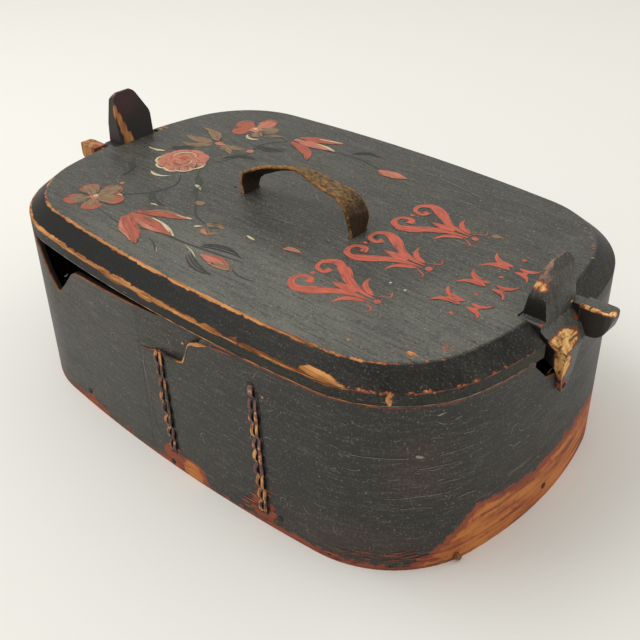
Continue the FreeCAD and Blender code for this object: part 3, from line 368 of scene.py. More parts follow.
def lid_paint():
    """Paint of the lid: a hazy top with a painted sheen at the front, a bevel painted black as shade, and a bright
    line of bare wood along the top's edge.
    """
    material, add, place, _ = new_material("Worn black-green oil paint on a pine board, lid")
    paint = bpy.context.scene.tine_paint
    x, y, z = add(SPLIT, place).outputs
    depth = inset(add, place)
    # the front edge is worn most, the back and the right end least, and both lines break up every 10 mm or so
    front = add(RANGE, y, 0.03, -0.085, 0.42, 0.92)
    right = add(RANGE, x, 0.10, 0.155, 1.0, 0.5)
    gaps = add(RANGE, add(NOISE, place, 95, 4.0, 0.7), 0.34, 0.58, 0.55, 1.08)
    away = add("ABSOLUTE", add("SUBTRACT", depth, BEVEL_RUN * MM))
    line = fold(add, "MULTIPLY", add(RANGE, away, 0.0018, 0.0), front, right, add(RANGE, z, 0.129, 0.1325), gaps)
    # the bevel's lower edge, heavy along the front and at the left corner, and the lip's thin bottom edge
    away = add("ABSOLUTE", add("SUBTRACT", z, BEVEL_FOOT * MM))
    lip = fold(add, "MULTIPLY", add(RANGE, away, 0.0022, 0.0004), add(RANGE, depth, 0.0035, 0.0020), front, right,
               gaps)
    rubs = spots(add, place, ((-38, -126, 123), (16, 8, 3), 0.8), ((-8, -127, 123), (10, 8, 3), 0.75),
                 ((112, -112, 121), (5, 8, 5), 0.65), ((160, -68, 133), (6, 6, 3), 0.45),
                 ((118, -95, 134), (1.6, 1.6, 2), 0.6), ((-172, 26, 134), (5, 5, 4), 0.5),
                 ((150, -84, 133), (7, 5, 3), 0.45), ((120, -119, 125), (17, 5, 3.4), 1.0),
                 ((154, -106, 121), (2, 4, 6), 0.7), ((153, 87, 134), (11, 6, 2.6), 0.34),
                 ((165, 70, 134), (5, 11, 2.6), 0.35))
    wear = fold(add, "MAXIMUM", line, lip, rubs)
    bare = add(RANGE, z, (LID_FOOT + 0.2) * MM, (LID_FOOT - 0.2) * MM)
    inner = add(RANGE, depth, 0.0115, 0.0130)
    # painted sheen: the front half of the top is painted paler, as a highlight where it catches the light
    shine = spots(add, place, ((50, -90, 134), (150, 45, 12), 0.34), ((150, -50, 134), (45, 60, 12), 0.34))
    shine = add("MULTIPLY", shine, inner)
    # painted shade: the bevel above the lip is painted near black, as it is seen in shade
    band = coats(add, LIP, (add(RANGE, z, 0.1240, 0.1246), "#0d0e0d"))
    ground = coats(add, band, (inner, paint.ground), (shine, "#6f7067"))
    # painted shade: the bevel is black at the left, where it is in shade, and greyer, with more grit, towards the
    # right corner
    gritty = add(RANGE, x, -0.06, 0.13)
    haze = coats(add, "#1a1816", (gritty, "#3a3833"), (inner, paint.haze), (shine, "#8b8b80"))
    flecks = alike(add, ("#201f1c", "#34322e"), (gritty, "#45433c", "#7d786c"), (inner, RUBBED, SPECK))
    return paint_over_wood(material, add, place, wear, ground, haze, (0.07, 1.0, 1.0), bare, raw_from=0.44,
                           specular=add(RANGE, inner, 0, 1, 0.16, 0.5), flecks=flecks)


def post_paint():
    """Paint of the carved posts: rubbed brown by hands on the heads, broken to orange wood on the tails."""
    material, add, place, normal = new_material("Hand-rubbed black paint on carved birch, posts")
    wear = spots(add, place, ((178, -14.5, 153), (8, 4, 4.2), 0.85), ((185, -19, 138), (3, 3, 9), 0.6),
                 ((193, -11, 120), (6, 19, 10), 1.25), ((193, -7, 106), (5, 9, 15), 1.25),
                 ((193, -2, 90), (6, 5, 6), 0.6), ((196, 11, 134), (16, 2.4, 2.0), 0.95),
                 ((208, 14, 134), (3, 5, 2.4), 0.8), ((189, 10, 128), (3, 3, 8), 0.5),
                 ((190, -13, 131), (6, 8, 3), 0.5), ((-177, -15, 166), (3, 1.8, 7), 0.85),
                 ((-175.5, -12.9, 158), (3, 2.2, 8), 0.95), ((-174, -11, 151), (3, 2.8, 7.5), 1.05),
                 ((-173, -9.4, 144), (3, 3.6, 8), 1.15), ((-171.5, -7.5, 135), (4, 5, 9), 1.2),
                 ((-185.5, -15, 148), (2.5, 4, 24), 0.8), ((-201, -20, 124), (16, 11, 11), 1.1),
                 ((-193, 2, 108), (5, 14, 24), 0.9))
    nx, ny, _ = add(SPLIT, normal).outputs
    level = add(SPLIT, place).outputs["Z"]
    # brown where hands have polished the paint off the crown of each head
    crown = spots(add, place, ((178, -8, 160), (9, 10, 9), 1), ((180, 0, 166), (9, 15, 6), 1),
                  ((-178, -6, 169), (10, 16, 4), 1))
    rubbed = fold(add, "MULTIPLY", crown, add(RANGE, add(NOISE, place, 260, 5.0, 0.7), 0.40, 0.54),
                  add(RANGE, add("ABSOLUTE", nx), 0.75, 0.45))
    # painted shade: the narrow side of each post is painted black below the lid and at the foot of the head, where it
    # lies in shade
    narrow = add("MULTIPLY", add(RANGE, ny, -0.5, -0.8), add(RANGE, level, 0.149, 0.143))
    left = add("GREATER_THAN", add(VECTOR, place, (-1, 0, 0), operation="DOT_PRODUCT"), 0.0)
    glow = spots(add, place, ((-172, -4, 166), (10, 22, 16), 0.9))
    head = add(RANGE, level, 0.140, 0.150)
    ground, haze = alike(add, ("#33332e", "#5e5f59"), (head, "#211d1a", "#3d3833"), (left, "#120d0c", "#1d1413"),
                         (rubbed, "#6e4632", "#a27862"), (narrow, "#100d0b", "#1d1815"),
                         (glow, "#34181a", "#4a2624"))
    flecks = alike(add, (RUBBED, SPECK), (add("MAXIMUM", left, narrow), "#2a2120", "#4a3d39"))
    # broken wood: dark torn pores a few millimetres long, slanting across the tail
    slant = add("ShaderNodeMapping", {"Vector": place, "Rotation": (0.45, 0, 0), "Scale": (1.0, 0.3, 1.0)})
    torn = add("MULTIPLY", add(RANGE, add(NOISE, slant, 430, 2.0), 0.44, 0.36, 0, 0.85), add("SUBTRACT", 1.0, left))
    timbers = alike(add, ("#f6c47c", "#bd7f40"), (left, "#b57f45", "#8d5a30"))
    return paint_over_wood(material, add, place, wear, ground, haze, (1.0, 1.0, 0.14), torn=torn, timbers=timbers,
                           flecks=flecks)


def raw_wood(name, light, dark, along, fine):
    """Unpainted wood, greyed and oiled by use: soft rings with darker pores."""
    material, add, place, _ = new_material(name)
    grain = drawn_out(add, place, along, fine, 5.0)
    grime = add(RANGE, add(NOISE, place, 40, 4.0), 0.45, 0.75, 0, 0.6)
    tint = coats(add, dark, (add(RANGE, grain, 0.36, 0.64), light), (grime, "#3a2c20"))
    finish(add, tint, add(RANGE, grain, 0, 1, 0.6, 0.85), grain, 0.0003)
    return material


# ---------- the lacing

def root_finish():
    """Split spruce root: glossy, orange where it is rubbed, blackened by paint in between, with painted shade on the
    flanks that turn away from the front.
    """
    material, add, place, normal = new_material("Split spruce root, stained")
    lace = bpy.context.scene.tine_lacing
    tone = add("ShaderNodeAttribute", attribute_name="tone").outputs["Fac"]
    fibre = drawn_out(add, place, (1.0, 1.0, 0.12), 420, 3.0)
    # the colour changes every 4 to 5 mm and from strand to strand, and the root is rubbed bright near the foot
    stain = add("MULTIPLY_ADD", tone, 0.26, add(NOISE, place, 230, 3.0))
    low = add(RANGE, add(SPLIT, place).outputs["Z"], 0.046, 0.026, 0, 0.10)
    stain = add(RANGE, add("SUBTRACT", stain, low), 0.53, 0.62)
    fine = add(RANGE, fibre, 0.38, 0.60)
    purple = coats(add, lace.stain, (fine, "#744c48"))
    # painted shade: the flanks of each strand that turn away from the front are darkened, as shade between the strands
    crease = add(RANGE, add(SPLIT, normal).outputs["Y"], -0.75, -0.2, 0, 0.85)
    tint = coats(add, "#7d4724", (fine, lace.root_colour), (stain, purple), (crease, "#140d0b"))
    finish(add, tint, add(RANGE, fibre, 0, 1, 0.38, 0.62), fibre, 0.0002)
    return material


def strand(add, points, thick, width, facing=(0, -1, 0)):
    """One flattened strand swept along a smooth segment; points are four vectors or nodes."""
    names = ("Start", "Start Handle", "End Handle", "End")
    segment = add("GeometryNodeCurvePrimitiveBezierSegment", {**dict(zip(names, points)), "Resolution": 9},
                  mode="POSITION")
    curve = add("GeometryNodeSetCurveNormal", {"Curve": segment, "Normal": facing}, mode="FREE")
    ring = add("GeometryNodeCurvePrimitiveCircle", {"Resolution": 8, "Radius": 0.5})
    oval = add("GeometryNodeTransform", {"Geometry": ring, "Scale": add(JOIN, thick, width, 1.0)})
    return add("GeometryNodeCurveToMesh", {"Curve": curve, "Profile Curve": oval, "Fill Caps": True})


def chain_tree():
    """Geometry Nodes: a row of chain stitches up the wall, their legs and the strand inside."""
    tree = bpy.data.node_groups.new("Chain lacing", "GeometryNodeTree")
    add = partial(add_node, tree)
    kinds = {"Vector": ("Foot", "Head"), "Int": ("Stitches", "Bars"), "Material": ("Root",), "Geometry": ("Lacing",),
             "Float": ("Lean", "Pitch", "Stitch width", "Root width", "Root thickness", "Bar width", "Inset")}
    for kind, names in kinds.items():
        for name in names:
            tree.interface.new_socket(name=name, in_out="OUTPUT" if kind == "Geometry" else "INPUT",
                                      socket_type="NodeSocket" + kind)
    given = add("NodeGroupInput").outputs
    pitch, within, count = given["Pitch"], given["Inset"], given["Stitches"]
    thick, width = given["Root thickness"], given["Root width"]
    row = add("GeometryNodeMeshLine", {0: count, 2: given["Foot"], 3: given["Head"]}, mode="END_POINTS",
              count_mode="TOTAL")
    spread = add("SUBTRACT", given["Stitch width"], width)
    reach = add("ADD", pitch, 0.0008)
    part_way = add("MULTIPLY", pitch, 0.62)
    # the two strands of a loop leave one slit, part, and close again over the next slit
    strands = []
    for hand in (0.5, -0.5):
        end, after, before = (add(JOIN, add("MULTIPLY", spread, hand * part), out, level) for part, out, level in
                              ((0.5, 0.0004, reach), (1.0, -0.0019, 0.001), (1.55, -0.0018, part_way)))
        strands.append(strand(add, ((hand * 0.0014, 0.0014, 0.0), after, before, end), thick, width))
    leg = strand(add, ((0, 0.0006, 0), (0, 0.002, 0), (0, 0.005, 0), add(JOIN, 0, within)), thick, width, (0, 0, 1))
    deep = add("ADD", within, 0.0008)
    ends = [add(JOIN, 0, depth, level)
            for depth, level in ((within, 0.0), (deep, part_way), (deep, part_way), (within, pitch))]
    inner = strand(add, ends, thick, width)
    bar = strand(add, ((0, 0.0012, 0), (0, -0.0022, 0.0015), (0, -0.0022, 0.0075), add(JOIN, 0, 0.001, pitch)),
                 thick, given["Bar width"])
    stitch = add("GeometryNodeJoinGeometry", [*strands, leg])

    # each stitch is a little turned and longer or shorter, with a tone of its own
    lean = add(JOIN, 0, given["Lean"])
    turn, size = (add("FunctionNodeRandomValue", {0: least, 1: largest, "Seed": seed}, data_type="FLOAT_VECTOR")
                  for least, largest, seed in (((-0.10, -0.07, -0.08), (0.05, 0.07, 0.08), 7),
                                               ((0.86, 0.9, 0.97), (1.08, 1.0, 1.03), 11)))
    turn = add(VECTOR, turn, lean, operation="ADD")
    index = add("GeometryNodeInputIndex")
    looped = add("SUBTRACT", add("SUBTRACT", count, given["Bars"]), 0.5)
    last = add("SUBTRACT", count, 1.5)
    rows = [add("GeometryNodeInstanceOnPoints",
                {"Points": row, "Instance": piece, "Rotation": way, "Scale": scale, "Selection": chosen})
            for piece, way, scale, chosen in ((stitch, turn, size, add("LESS_THAN", index, looped)),
                                              (bar, lean, (1, 1, 1), add("GREATER_THAN", index, looped)),
                                              (inner, lean, (1, 1, 1), add("LESS_THAN", index, last)))]
    tone = add("FunctionNodeRandomValue", {2: 0.0, 3: 1.0, "Seed": 3}, data_type="FLOAT")
    toned = add("GeometryNodeStoreNamedAttribute", add("GeometryNodeJoinGeometry", rows), True, "tone", tone,
                data_type="FLOAT", domain="INSTANCE")
    solid = add("GeometryNodeSetShadeSmooth", add("GeometryNodeRealizeInstances", toned))
    painted = add("GeometryNodeSetMaterial", {"Geometry": solid, "Material": given["Root"]})
    add("NodeGroupOutput", {"Lacing": painted})
    return tree


def lace_row(name, tree, material, x, low, count, bars):
    """One row of lacing as a plain mesh; x, low in millimetres. The last bars are plain strands."""
    lace = bpy.context.scene.tine_lacing
    lean, front = math.radians(ROW_LEAN), SIDE_CENTRE - math.sqrt(SIDE_RADIUS ** 2 - x ** 2)

    def at(level):
        rise = level - ROW_MIDDLE
        return MM * (x - rise * math.sin(lean)), front * MM, MM * (ROW_MIDDLE + rise * math.cos(lean))

    piece = new_piece(name)
    modifier = piece.modifiers.new("Lacing", "NODES")
    modifier.node_group = tree
    values = {"Foot": at(low), "Head": at(low + STITCH_STEP * (count - 1)), "Stitches": count, "Lean": -lean,
              "Pitch": lace.pitch, "Stitch width": lace.width, "Root width": lace.root_width,
              "Root thickness": lace.root_thickness, "Bars": bars, "Bar width": lace.bar_width,
              "Inset": lace.inset, "Root": material}
    for item in tree.interface.items_tree:
        if item.in_out == "INPUT":
            modifier[item.identifier] = values[item.name]
    piece.data.update()
    evaluated = piece.evaluated_get(bpy.context.evaluated_depsgraph_get())
    mesh = bpy.data.meshes.new_from_object(evaluated)
    piece.modifiers.clear()
    piece.data = mesh
    mesh.name = name
    if not mesh.polygons:
        raise RuntimeError(name + " came out empty")
    return piece


# ---------- the strap

def leather():
    """Thick bark-tanned strap leather, flesh side out.

    The eye sees a napped ochre-brown upper side with short fibres, a paler orange cut edge and near
    black places where hands held it and where it meets the board.
    """
    material, add, place, _ = new_material("Bark-tanned strap leather, worn")
    strap = bpy.context.scene.tine_strap
    upper, inner = (add("ShaderNodeAttribute", attribute_name=name).outputs["Fac"] for name in ("upper", "inner"))
    across = add(SPLIT, add("ShaderNodeUVMap", uv_map="Along")).outputs["Y"]
    # nap: fibres about 1 mm long, drawn a little coarser than real so that they show
    nap = drawn_out(add, place, (0.35, 1.0, 1.0), 800, 4.0)
    mottle = add(NOISE, place, 120, 4.0, 0.6)
    light = add(RANGE, nap, 0.35, 0.68)
    dim = add(RANGE, mottle, 0.52, 0.68, 0, 0.8)
    edge = fold(add, "MULTIPLY", add(RANGE, across, 0.86, 0.95), upper, add(RANGE, mottle, 0.36, 0.5))
    foot = add(RANGE, add(SPLIT, place).outputs["Z"], 0.158, 0.146, 0, 0.88)
    rim = coats(add, "#6b4a28", (light, strap.core))
    tint = coats(add, "#33240f", (light, strap.hide), (dim, "#3a2a18"), (inner, strap.dark), (foot, strap.dark),
                 (edge, rim))
    finish(add, tint, add(RANGE, nap, 0, 1, 0.62, 0.92), nap, 0.0005, specular=0.3)
    return material


def rounded_path(corners, apart=1.6, steps=12):
    """Points about 1.6 mm apart along straight runs and rounded corners; corners are (x, z, radius)."""
    points = [Vector(corners[0][:2])]
    for before, corner, after in zip(corners, corners[1:], corners[2:]):
        here = Vector(corner[:2])
        one, two = (Vector(p[:2]) - here for p in (before, after))
        half = one.angle(two) / 2
        cut = min(corner[2] / math.tan(half), one.length * 0.49, two.length * 0.49)
        start, end = here + one.normalized() * cut, here + two.normalized() * cut
        for t in (k / steps for k in range(steps + 1)):
            points.append(start * (1 - t) ** 2 + here * 2 * t * (1 - t) + end * t * t)
    points.append(Vector(corners[-1][:2]))
    even = [points[0]]
    for point in points[1:]:
        start = even[-1]
        count = max(1, round((point - start).length / apart))
        even += [start.lerp(point, (k + 1) / count) for k in range(count)]
    return even


def strap_piece(name):
    """The strap: a slightly cupped leather strip swept along its arch, legs and tails."""
    strap = bpy.context.scene.tine_strap
    half, thick = strap.width / MM / 2 - 0.2, strap.thickness / MM / 2 - 0.12
    path = rounded_path([(-64, 110.5, 0), (-44, 110.5, 2), (-44, 146, 12), (-22, 156.5, 40), (4, 163.5, 30),
                         (26, 158.5, 40), (41, 157, 16), (49, 147, 14), (49, 110.5, 2), (69, 110.5, 0)])
    # round the cross-section: (across, through) over the upper side and back under the lower one
    over = [(-1.0, 0.0), (-0.985, 0.55), (-0.93, 0.92), (-0.6, 1.0), (-0.2, 1.0)]
    over += [(-across, through) for across, through in reversed(over)]
    section = over + [(-across, -through) for across, through in over[1:-1]]
    wobble = random.Random(5)
    waves = [(wobble.uniform(0.05, 0.35), wobble.uniform(0, 6.28)) for _ in range(4)]
    verts, alongs, inners, uppers = [], [], [], []
    for k, point in enumerate(path):
        ahead = (path[min(k + 1, len(path) - 1)] - path[max(k - 1, 0)]).normalized()
        # 0 within the lid's board, 1 from 10 mm above it
        free = min(max((point.y - LID_TOP - 2) / 8, 0.0), 1.0)
        # the front edge stands up by 20 degrees over the left half; both feet are a little turned
        tilt = math.radians(20) * free * min(max((36 - point.x) / 30, 0.0), 1.0) * (1 if point.x > -42 else 0.5)
        skew = free * (0.2 if point.x < 0 else 0.36)
        narrow = 0.25 + 0.25 * sum(math.sin(k * rate + shift) for rate, shift in waves) / 4
        for across, through in section:
            side = across * (half - narrow * free)
            cup = free * 0.35 * (across * across - 1)
            rise = through * thick * (1 - 0.08 * free * abs(across)) + cup * 0.5
            lift = rise * math.cos(tilt) - side * math.sin(tilt)
            wide = side * math.cos(tilt) + rise * math.sin(tilt)
            verts.append(((point.x - ahead.y * lift + skew * wide) * MM, (STRAP_Y + wide) * MM,
                          (point.y + ahead.x * lift) * MM))
            alongs.append((k / len(path), abs(across)))
            cut_edge = abs(across) > 0.95 and through > -0.6
            inners.append(0.9 if through < 0.3 and not cut_edge else 0.0)
            uppers.append(1.0 if through > 0.5 or cut_edge else 0.0)
    count = len(section)
    last = len(verts) - count
    faces = [(k + j, k + (j + 1) % count, k + (j + 1) % count + count, k + j + count)
             for k in range(0, last, count) for j in range(count)]
    faces += [range(count - 1, -1, -1), range(last, last + count)]
    piece = new_piece(name, verts, faces, alongs, inner=inners, upper=uppers)
    piece.data.shade_smooth()
    return piece


# ---------- the painting on the lid

def stroke_paint(name, tint, worn, under):
    """Distemper laid on with a soft brush: bristle marks along the stroke, thin and rubbed in places."""
    material, add, place, _ = new_material(name)
    # bristle marks about 1 mm apart, drawn out eight times along the stroke
    bristle = drawn_out(add, add("ShaderNodeUVMap", uv_map="Along"), (0.0016, 0.0132, 1.0), 60, 3.0)
    rub = add(NOISE, place, 240, 5.0, 0.7)
    ridge = add(RANGE, bristle, 0.34, 0.62)
    edge = add("ShaderNodeAttribute", attribute_name="edge").outputs["Fac"]
    gone = add("MULTIPLY_ADD", ridge, 0.6, add("ADD", rub, add(NOISE, place, 45, 2.0)))
    gone = add(RANGE, add("MULTIPLY_ADD", edge, -0.32, gone), 0.98 + worn * 0.3, 0.74 + worn * 0.3)
    dim = tuple(c * 0.55 for c in tint[:3]) + (1.0,)
    finish(add, coats(add, dim, (ridge, tint), (gone, under)), add(RANGE, rub, 0, 1, 0.45, 0.7), bristle, 0.0001)
    return material


def smooth_line(points, steps):
    """Catmull-Rom points through (x, y, half width) stations."""
    ends = [points[0], *points, points[-1]]
    line = []
    for stations in zip(ends, ends[1:], ends[2:], ends[3:]):
        for t in (k / steps for k in range(steps)):
            line.append([0.5 * (2 * q + (r - p) * t + (2 * p - 5 * q + 4 * r - s) * t * t
                                + (3 * q - p - 3 * r + s) * t ** 3) for p, q, r, s in zip(*stations)])
    return line + [points[-1]]


def on_board(a, b, lift):
    """A place on the lid's top; a and b are X and Y."""
    return a, b, LID_TOP + lift


def on_ring(a, b, lift):
    """A place on the bowed upright face: a is the walk from the front's middle, b the height."""
    x, y, radius, start, turn = next(arc for end, *arc in ARCS if abs(a) < end)
    turn = math.radians(turn) + (abs(a) - start) / radius
    return math.copysign(x + (radius + lift) * math.cos(turn), a), y + (radius + lift) * math.sin(turn), b


class Painter:
    """Collects brush strokes on a surface as thin ribbons, each with its own paint and UVs. Millimetres."""
    # the narrowest stroke's half width, the step up to the next stroke, and how far its bristles are shifted
    LEAST, STEP, SHIFT = 0.12, 0.006, 7.3
    # outlines as (part of the length, part of the width)
    LEAF = ((0.0, 0.2), (0.12, 0.75), (0.38, 1.0), (0.7, 0.62), (1.0, 0.05))
    PETAL = ((0.0, 0.25), (0.25, 0.72), (0.55, 1.0), (0.82, 0.82), (0.96, 0.42), (1.0, 0.1))

    def __init__(self, surface, lift):
        self.surface, self.lift, self.count = surface, lift / MM, 0
        self.verts, self.faces, self.paints, self.uvs, self.edges = [], [], [], [], []

    def stroke(self, paint, *points, steps=6):
        """A stroke through (x, y, half width) stations in millimetres."""
        line = smooth_line(points, steps)
        lift = self.lift + self.count % 40 * self.STEP
        self.count += 1
        start, run = len(self.verts), 0.0
        for k, (x, y, half) in enumerate(line):
            back, on = line[max(k - 1, 0)], line[min(k + 1, len(line) - 1)]
            dx, dy = on[0] - back[0], on[1] - back[1]
            half = max(half, self.LEAST)
            reach = half / (math.hypot(dx, dy) or 1.0)
            if k:
                run += math.dist((x, y), line[k - 1][:2])
                corners = range(start + k * 4 - 4, start + k * 4 - 1)
                self.faces += [(a, a + 4, a + 5, a + 1) for a in corners]
                self.paints += [paint] * 3
            for side in (-1, -0.35, 0.35, 1):
                place = self.surface(x - dy * reach * side, y + dx * reach * side, lift)
                self.verts.append([v * MM for v in place])
                self.uvs.append((run, side * half + self.count * self.SHIFT))
                self.edges.append(float(abs(side) == 1))

    def leaf(self, paint, x0, y0, x1, y1, width, bow=0.0, shape=LEAF):
        """A leaf or comma from its blunt end to its point, bowed sideways."""
        dx, dy = x1 - x0, y1 - y0
        shape = [(t, bow * 4 * t * (1 - t), width / 2 * wide) for t, wide in shape]
        self.stroke(paint, *((x0 + dx * t - dy * off, y0 + dy * t + dx * off, wide) for t, off, wide in shape),
                    steps=4)

    def petal(self, paint, x, y, angle, near, far, width):
        """A round-ended petal that points away from a flower's middle."""
        dx, dy = math.cos(math.radians(angle)), math.sin(math.radians(angle))
        self.leaf(paint, x + near * dx, y + near * dy, x + far * dx, y + far * dy, width, shape=self.PETAL)

    def line(self, paint, width, *points):
        """A thin line through (x, y) points, thinner at both ends."""
        ends = (0, len(points) - 1)
        self.stroke(paint, *((x, y, width / 2 * (0.35 if k in ends else 1.0)) for k, (x, y) in enumerate(points)))

    def rim(self, paint, x, y, radius, start, end, width):
        """A crescent: part of a ring, widest in its middle."""
        turns = [(math.radians(start + (end - start) * k / 5), math.pi * (0.08 + 0.84 * k / 5)) for k in range(6)]
        self.stroke(paint, *((x + radius * math.cos(turn), y + radius * math.sin(turn), width / 2 * math.sin(swell))
                             for turn, swell in turns), steps=3)

    def dot(self, paint, x, y, radius):
        shape = ((-1, 0.3), (-0.7, 0.74), (0, 1), (0.7, 0.74), (1, 0.3))
        self.stroke(paint, *((x + radius * along, y, radius * wide) for along, wide in shape), steps=3)

    def each(self, kind, paint, *rows):
        """Several strokes of one kind and paint."""
        for row in rows:
            getattr(self, kind)(paint, *row)


def scuffs(art, paint, count, across, up, seed, slope):
    """Short hairlines strewn over a field, mostly along the grain."""
    dice = random.Random(seed)
    for _ in range(count):
        a, b = dice.uniform(*across), dice.uniform(*up)
        turn, run, bow = dice.gauss(0, slope), dice.uniform(2, 8), dice.uniform(-0.12, 0.12)
        da, db = run * math.cos(turn), run * math.sin(turn)
        art.line(paint, dice.uniform(0.2, 0.4), (a, b), (a + da / 2 - db * bow, b + db / 2 + da * bow),
                 (a + da, b + db))


def paint_stems(art):
    """Dark stems and leaves, nearly lost in the ground."""
    art.each("line", "stem", (1.6, (-100, -88), (-70, -92), (-46, -84), (-20, -82), (2, -79), (22, -76)),
             (1.3, (22, -85), (30, -88), (42, -87)), (1.2, (-44, -92), (-34, -96), (-28, -101)),
             (1.4, (-95, -5), (-84, -18), (-66, -34), (-44, -54), (-26, -58)),
             (1.5, (-96, 6), (-88, 30), (-92, 52), (-82, 68)), (1.3, (-44, 76), (-24, 78), (-8, 76), (4, 73)),
             (1.5, (-104, -66), (-92, -52), (-88, -34), (-98, -20)))
    for x0, y0, x1, y1, bow in ((-88, -16, -70, -34, 0.15), (-92, -50, -70, -58, -0.15), (-96, 18, -74, 30, 0.2),
                                (-92, 48, -72, 58, -0.2), (-30, 82, -12, 90, 0.2), (-142, -30, -128, -48, 0.2),
                                (-140, 6, -128, 20, -0.2), (-10, -90, 18, -97, -0.1), (-12, -78, 18, -73, 0.12)):
        for shift in (-1.6, 0.2, 1.8):
            art.leaf("stem", x0, y0 + shift, x1 - shift, y1, 1.3, bow + shift * 0.03)


def paint_round_flowers(art):
    """The two five-petalled flowers and the rose at the left end."""
    # brown petals over red ones, so that a red rim stays at the outer end
    for angle, far, width, trim in ((86, 21, 15, 1), (156, 20, 14, 2), (24, 21, 14, 6), (232, 20, 14, 5),
                                    (312, 18, 14, 6)):
        art.petal("red", -115, -80, angle, 4, far, width)
        art.petal("ochre", -115, -80, angle, 3, far - trim, width - 2)
    art.each("rim", "cream", (-114, -67, 6, 20, 150, 1.8), (-104, -72, 5, 60, 170, 2.0))
    art.dot("salmon", -115, -79, 4.2)
    art.dot("cream", -116, -78, 1.8)
    art.dot("salmon", -118, -55, 1.6)
    for paint, angle, far, width in (("salmon", 92, 20, 14), ("ochre", 30, 18, 13), ("red", 172, 21, 14),
                                     ("red", 232, 18, 14), ("ochre", 322, 15, 10)):
        art.petal(paint, -116, 69, angle, 4, far, width)
    art.rim("cream", -107, 61, 7, 200, 330, 2.4)
    art.rim("red", -117, 83, 7, 20, 160, 2.6)
    art.rim("ochre", -129, 71, 7, 60, 200, 2.6)
    art.dot("salmon", -116, 69, 4.6)
    art.dot("cream", -117, 70, 1.6)
    art.leaf("ochre", -101, 63, -89, 72, 5, 0.1)
    # the rose: a salmon round with a scalloped cream edge and darker folds
    for angle in range(12, 372, 45):
        art.petal("salmon", -115, -3.5, angle, 2, 18.5, 17)
    art.dot("salmon", -115, -4, 12)
    for angle in (215, 252, 290, 325, 0):
        turn = math.radians(angle)
        art.rim("cream", -115 + 11 * math.cos(turn), -4 + 11 * math.sin(turn), 8, angle - 60, angle + 60, 2.0)
    art.rim("red", -115, -1, 11, 80, 230, 3.6)
    art.rim("cream", -118, 0, 8.5, 40, 220, 1.4)
    art.rim("red", -114, -6, 5.5, 190, 400, 2.6)
    art.rim("cream", -112, -5, 5, 300, 430, 1.2)
    art.dot("red", -117, -1, 3.2)


def paint_leaves(art):
    """Ochre leaves round the rose, and loose cream and pink touches."""
    art.each("leaf", "ochre", (-122, 35, -149, 46, 9, -0.12), (-124, 32, -150, 28, 9, 0.05),
             (-121, 29, -141, 17, 8, 0.12), (-126, 39, -138, 49, 6, 0.1), (-113, 33, -95, 39, 8, -0.1),
             (-113, 30, -97, 25, 7, 0.12))
    art.leaf("salmon", -121, 33, -111, 34, 6)
    art.dot("salmon", -90, 38, 2.8)
    art.each("leaf", "cream", (-138, -1, -153, -4, 2.8, 0.1), (-118, -30, -102, -26, 2.6, -0.2),
             (-78, -25, -69, -28, 3.0, 0.1), (-79, -62, -73, -61, 2.2), (-34, -65, -30, -61, 2.2))
    art.each("line", "cream", (0.9, (-20, -84), (-11, -86.5), (-4, -90)), (0.7, (-31, -97), (-27, -100)))
    art.dot("ochre", -55, -41, 3.4)
    art.each("leaf", "ochre", (-30, -58, -16, -55, 8, 0.1), (-28, -65, -15, -62, 7, -0.1))
    art.leaf("salmon", -27, -64, -19, -67, 4)
    art.leaf("cream", 0, -52, 8, -53, 2.0)
    art.leaf("salmon", 28, -49, 40, -46, 4.5, 0.1)
    art.leaf("ochre", 112, 44, 120, 46, 5)
    art.each("dot", "cream", (100, -38, 0.8), (111, -39, 0.8))


def paint_tulips(art):
    """The two tulips and the two buds."""
    art.each("stroke", "red",
             ((-77, -75, 1.5), (-66, -68, 4.6), (-55, -64.5, 3.4), (-47, -62, 1.4), (-42, -60, 0.3)),
             ((-78, -80, 2), (-67, -80, 5.6), (-52, -80, 5.4), (-41, -81, 2.6), (-34, -81.5, 0.4)),
             ((-78, -84, 2), (-68, -90, 5.2), (-57, -94, 4.6), (-49, -99, 2.8), (-44, -102.5, 0.8)))
    art.stroke("salmon", (-70, -82, 0.6), (-60, -84, 2.0), (-48, -84, 1.6), (-42, -83, 0.4))
    art.each("stroke", "cream", ((-62, -74.5, 0.4), (-52, -75, 0.9), (-42, -78, 1.3), (-33.5, -81.5, 0.5)),
             ((-58, -62, 0.3), (-50, -61, 0.8), (-42, -59.5, 0.7)))
    art.stroke("salmon", (-74, -90, 0.5), (-66, -96, 1.6), (-56, -99, 1.2), (-50, -102, 0.4))
    art.stroke("ochre", (-72, -72, 0.4), (-64, -64, 1.2), (-54, -61, 0.8), (-46, -60, 0.3))
    art.stroke("red", (-79, 79, 1.4), (-68, 83.5, 4.4), (-56, 87, 3.2), (-47, 90, 0.6))
    art.stroke("salmon", (-80, 74, 1.6), (-66, 75, 4.6), (-54, 76, 3.0), (-43, 76, 0.5))
    art.stroke("red", (-79, 69, 1.4), (-67, 67, 4.2), (-56, 61, 3.6), (-48, 53, 0.8))
    art.each("stroke", "cream", ((-62, 78.5, 0.3), (-52, 78.5, 1.0), (-43, 76.5, 0.5)),
             ((-66, 86, 0.3), (-56, 89, 0.8), (-48, 91, 0.4)))
    art.stroke("salmon", (-4, -86, 0.6), (4, -85.5, 3.6), (12, -86, 4.6), (18, -87, 2.6), (21.5, -87.5, 0.4))
    art.stroke("red", (-2, -84, 0.5), (6, -82, 1.5), (14, -83, 1.2), (20, -86, 0.4))
    art.stroke("ochre", (10, -88.5, 0.5), (15, -87, 2.0), (20, -87, 0.8))
    art.stroke("salmon", (1, 72, 0.6), (8, 72.5, 4.2), (15, 73, 4.6), (21, 73.5, 2.2), (24.5, 74, 0.4))
    art.stroke("red", (3, 69.5, 0.5), (10, 68.5, 1.3), (18, 70, 1.0), (23, 73, 0.3))
    art.stroke("cream", (17, 74, 0.6), (21, 74, 1.8), (24.5, 74, 0.5))


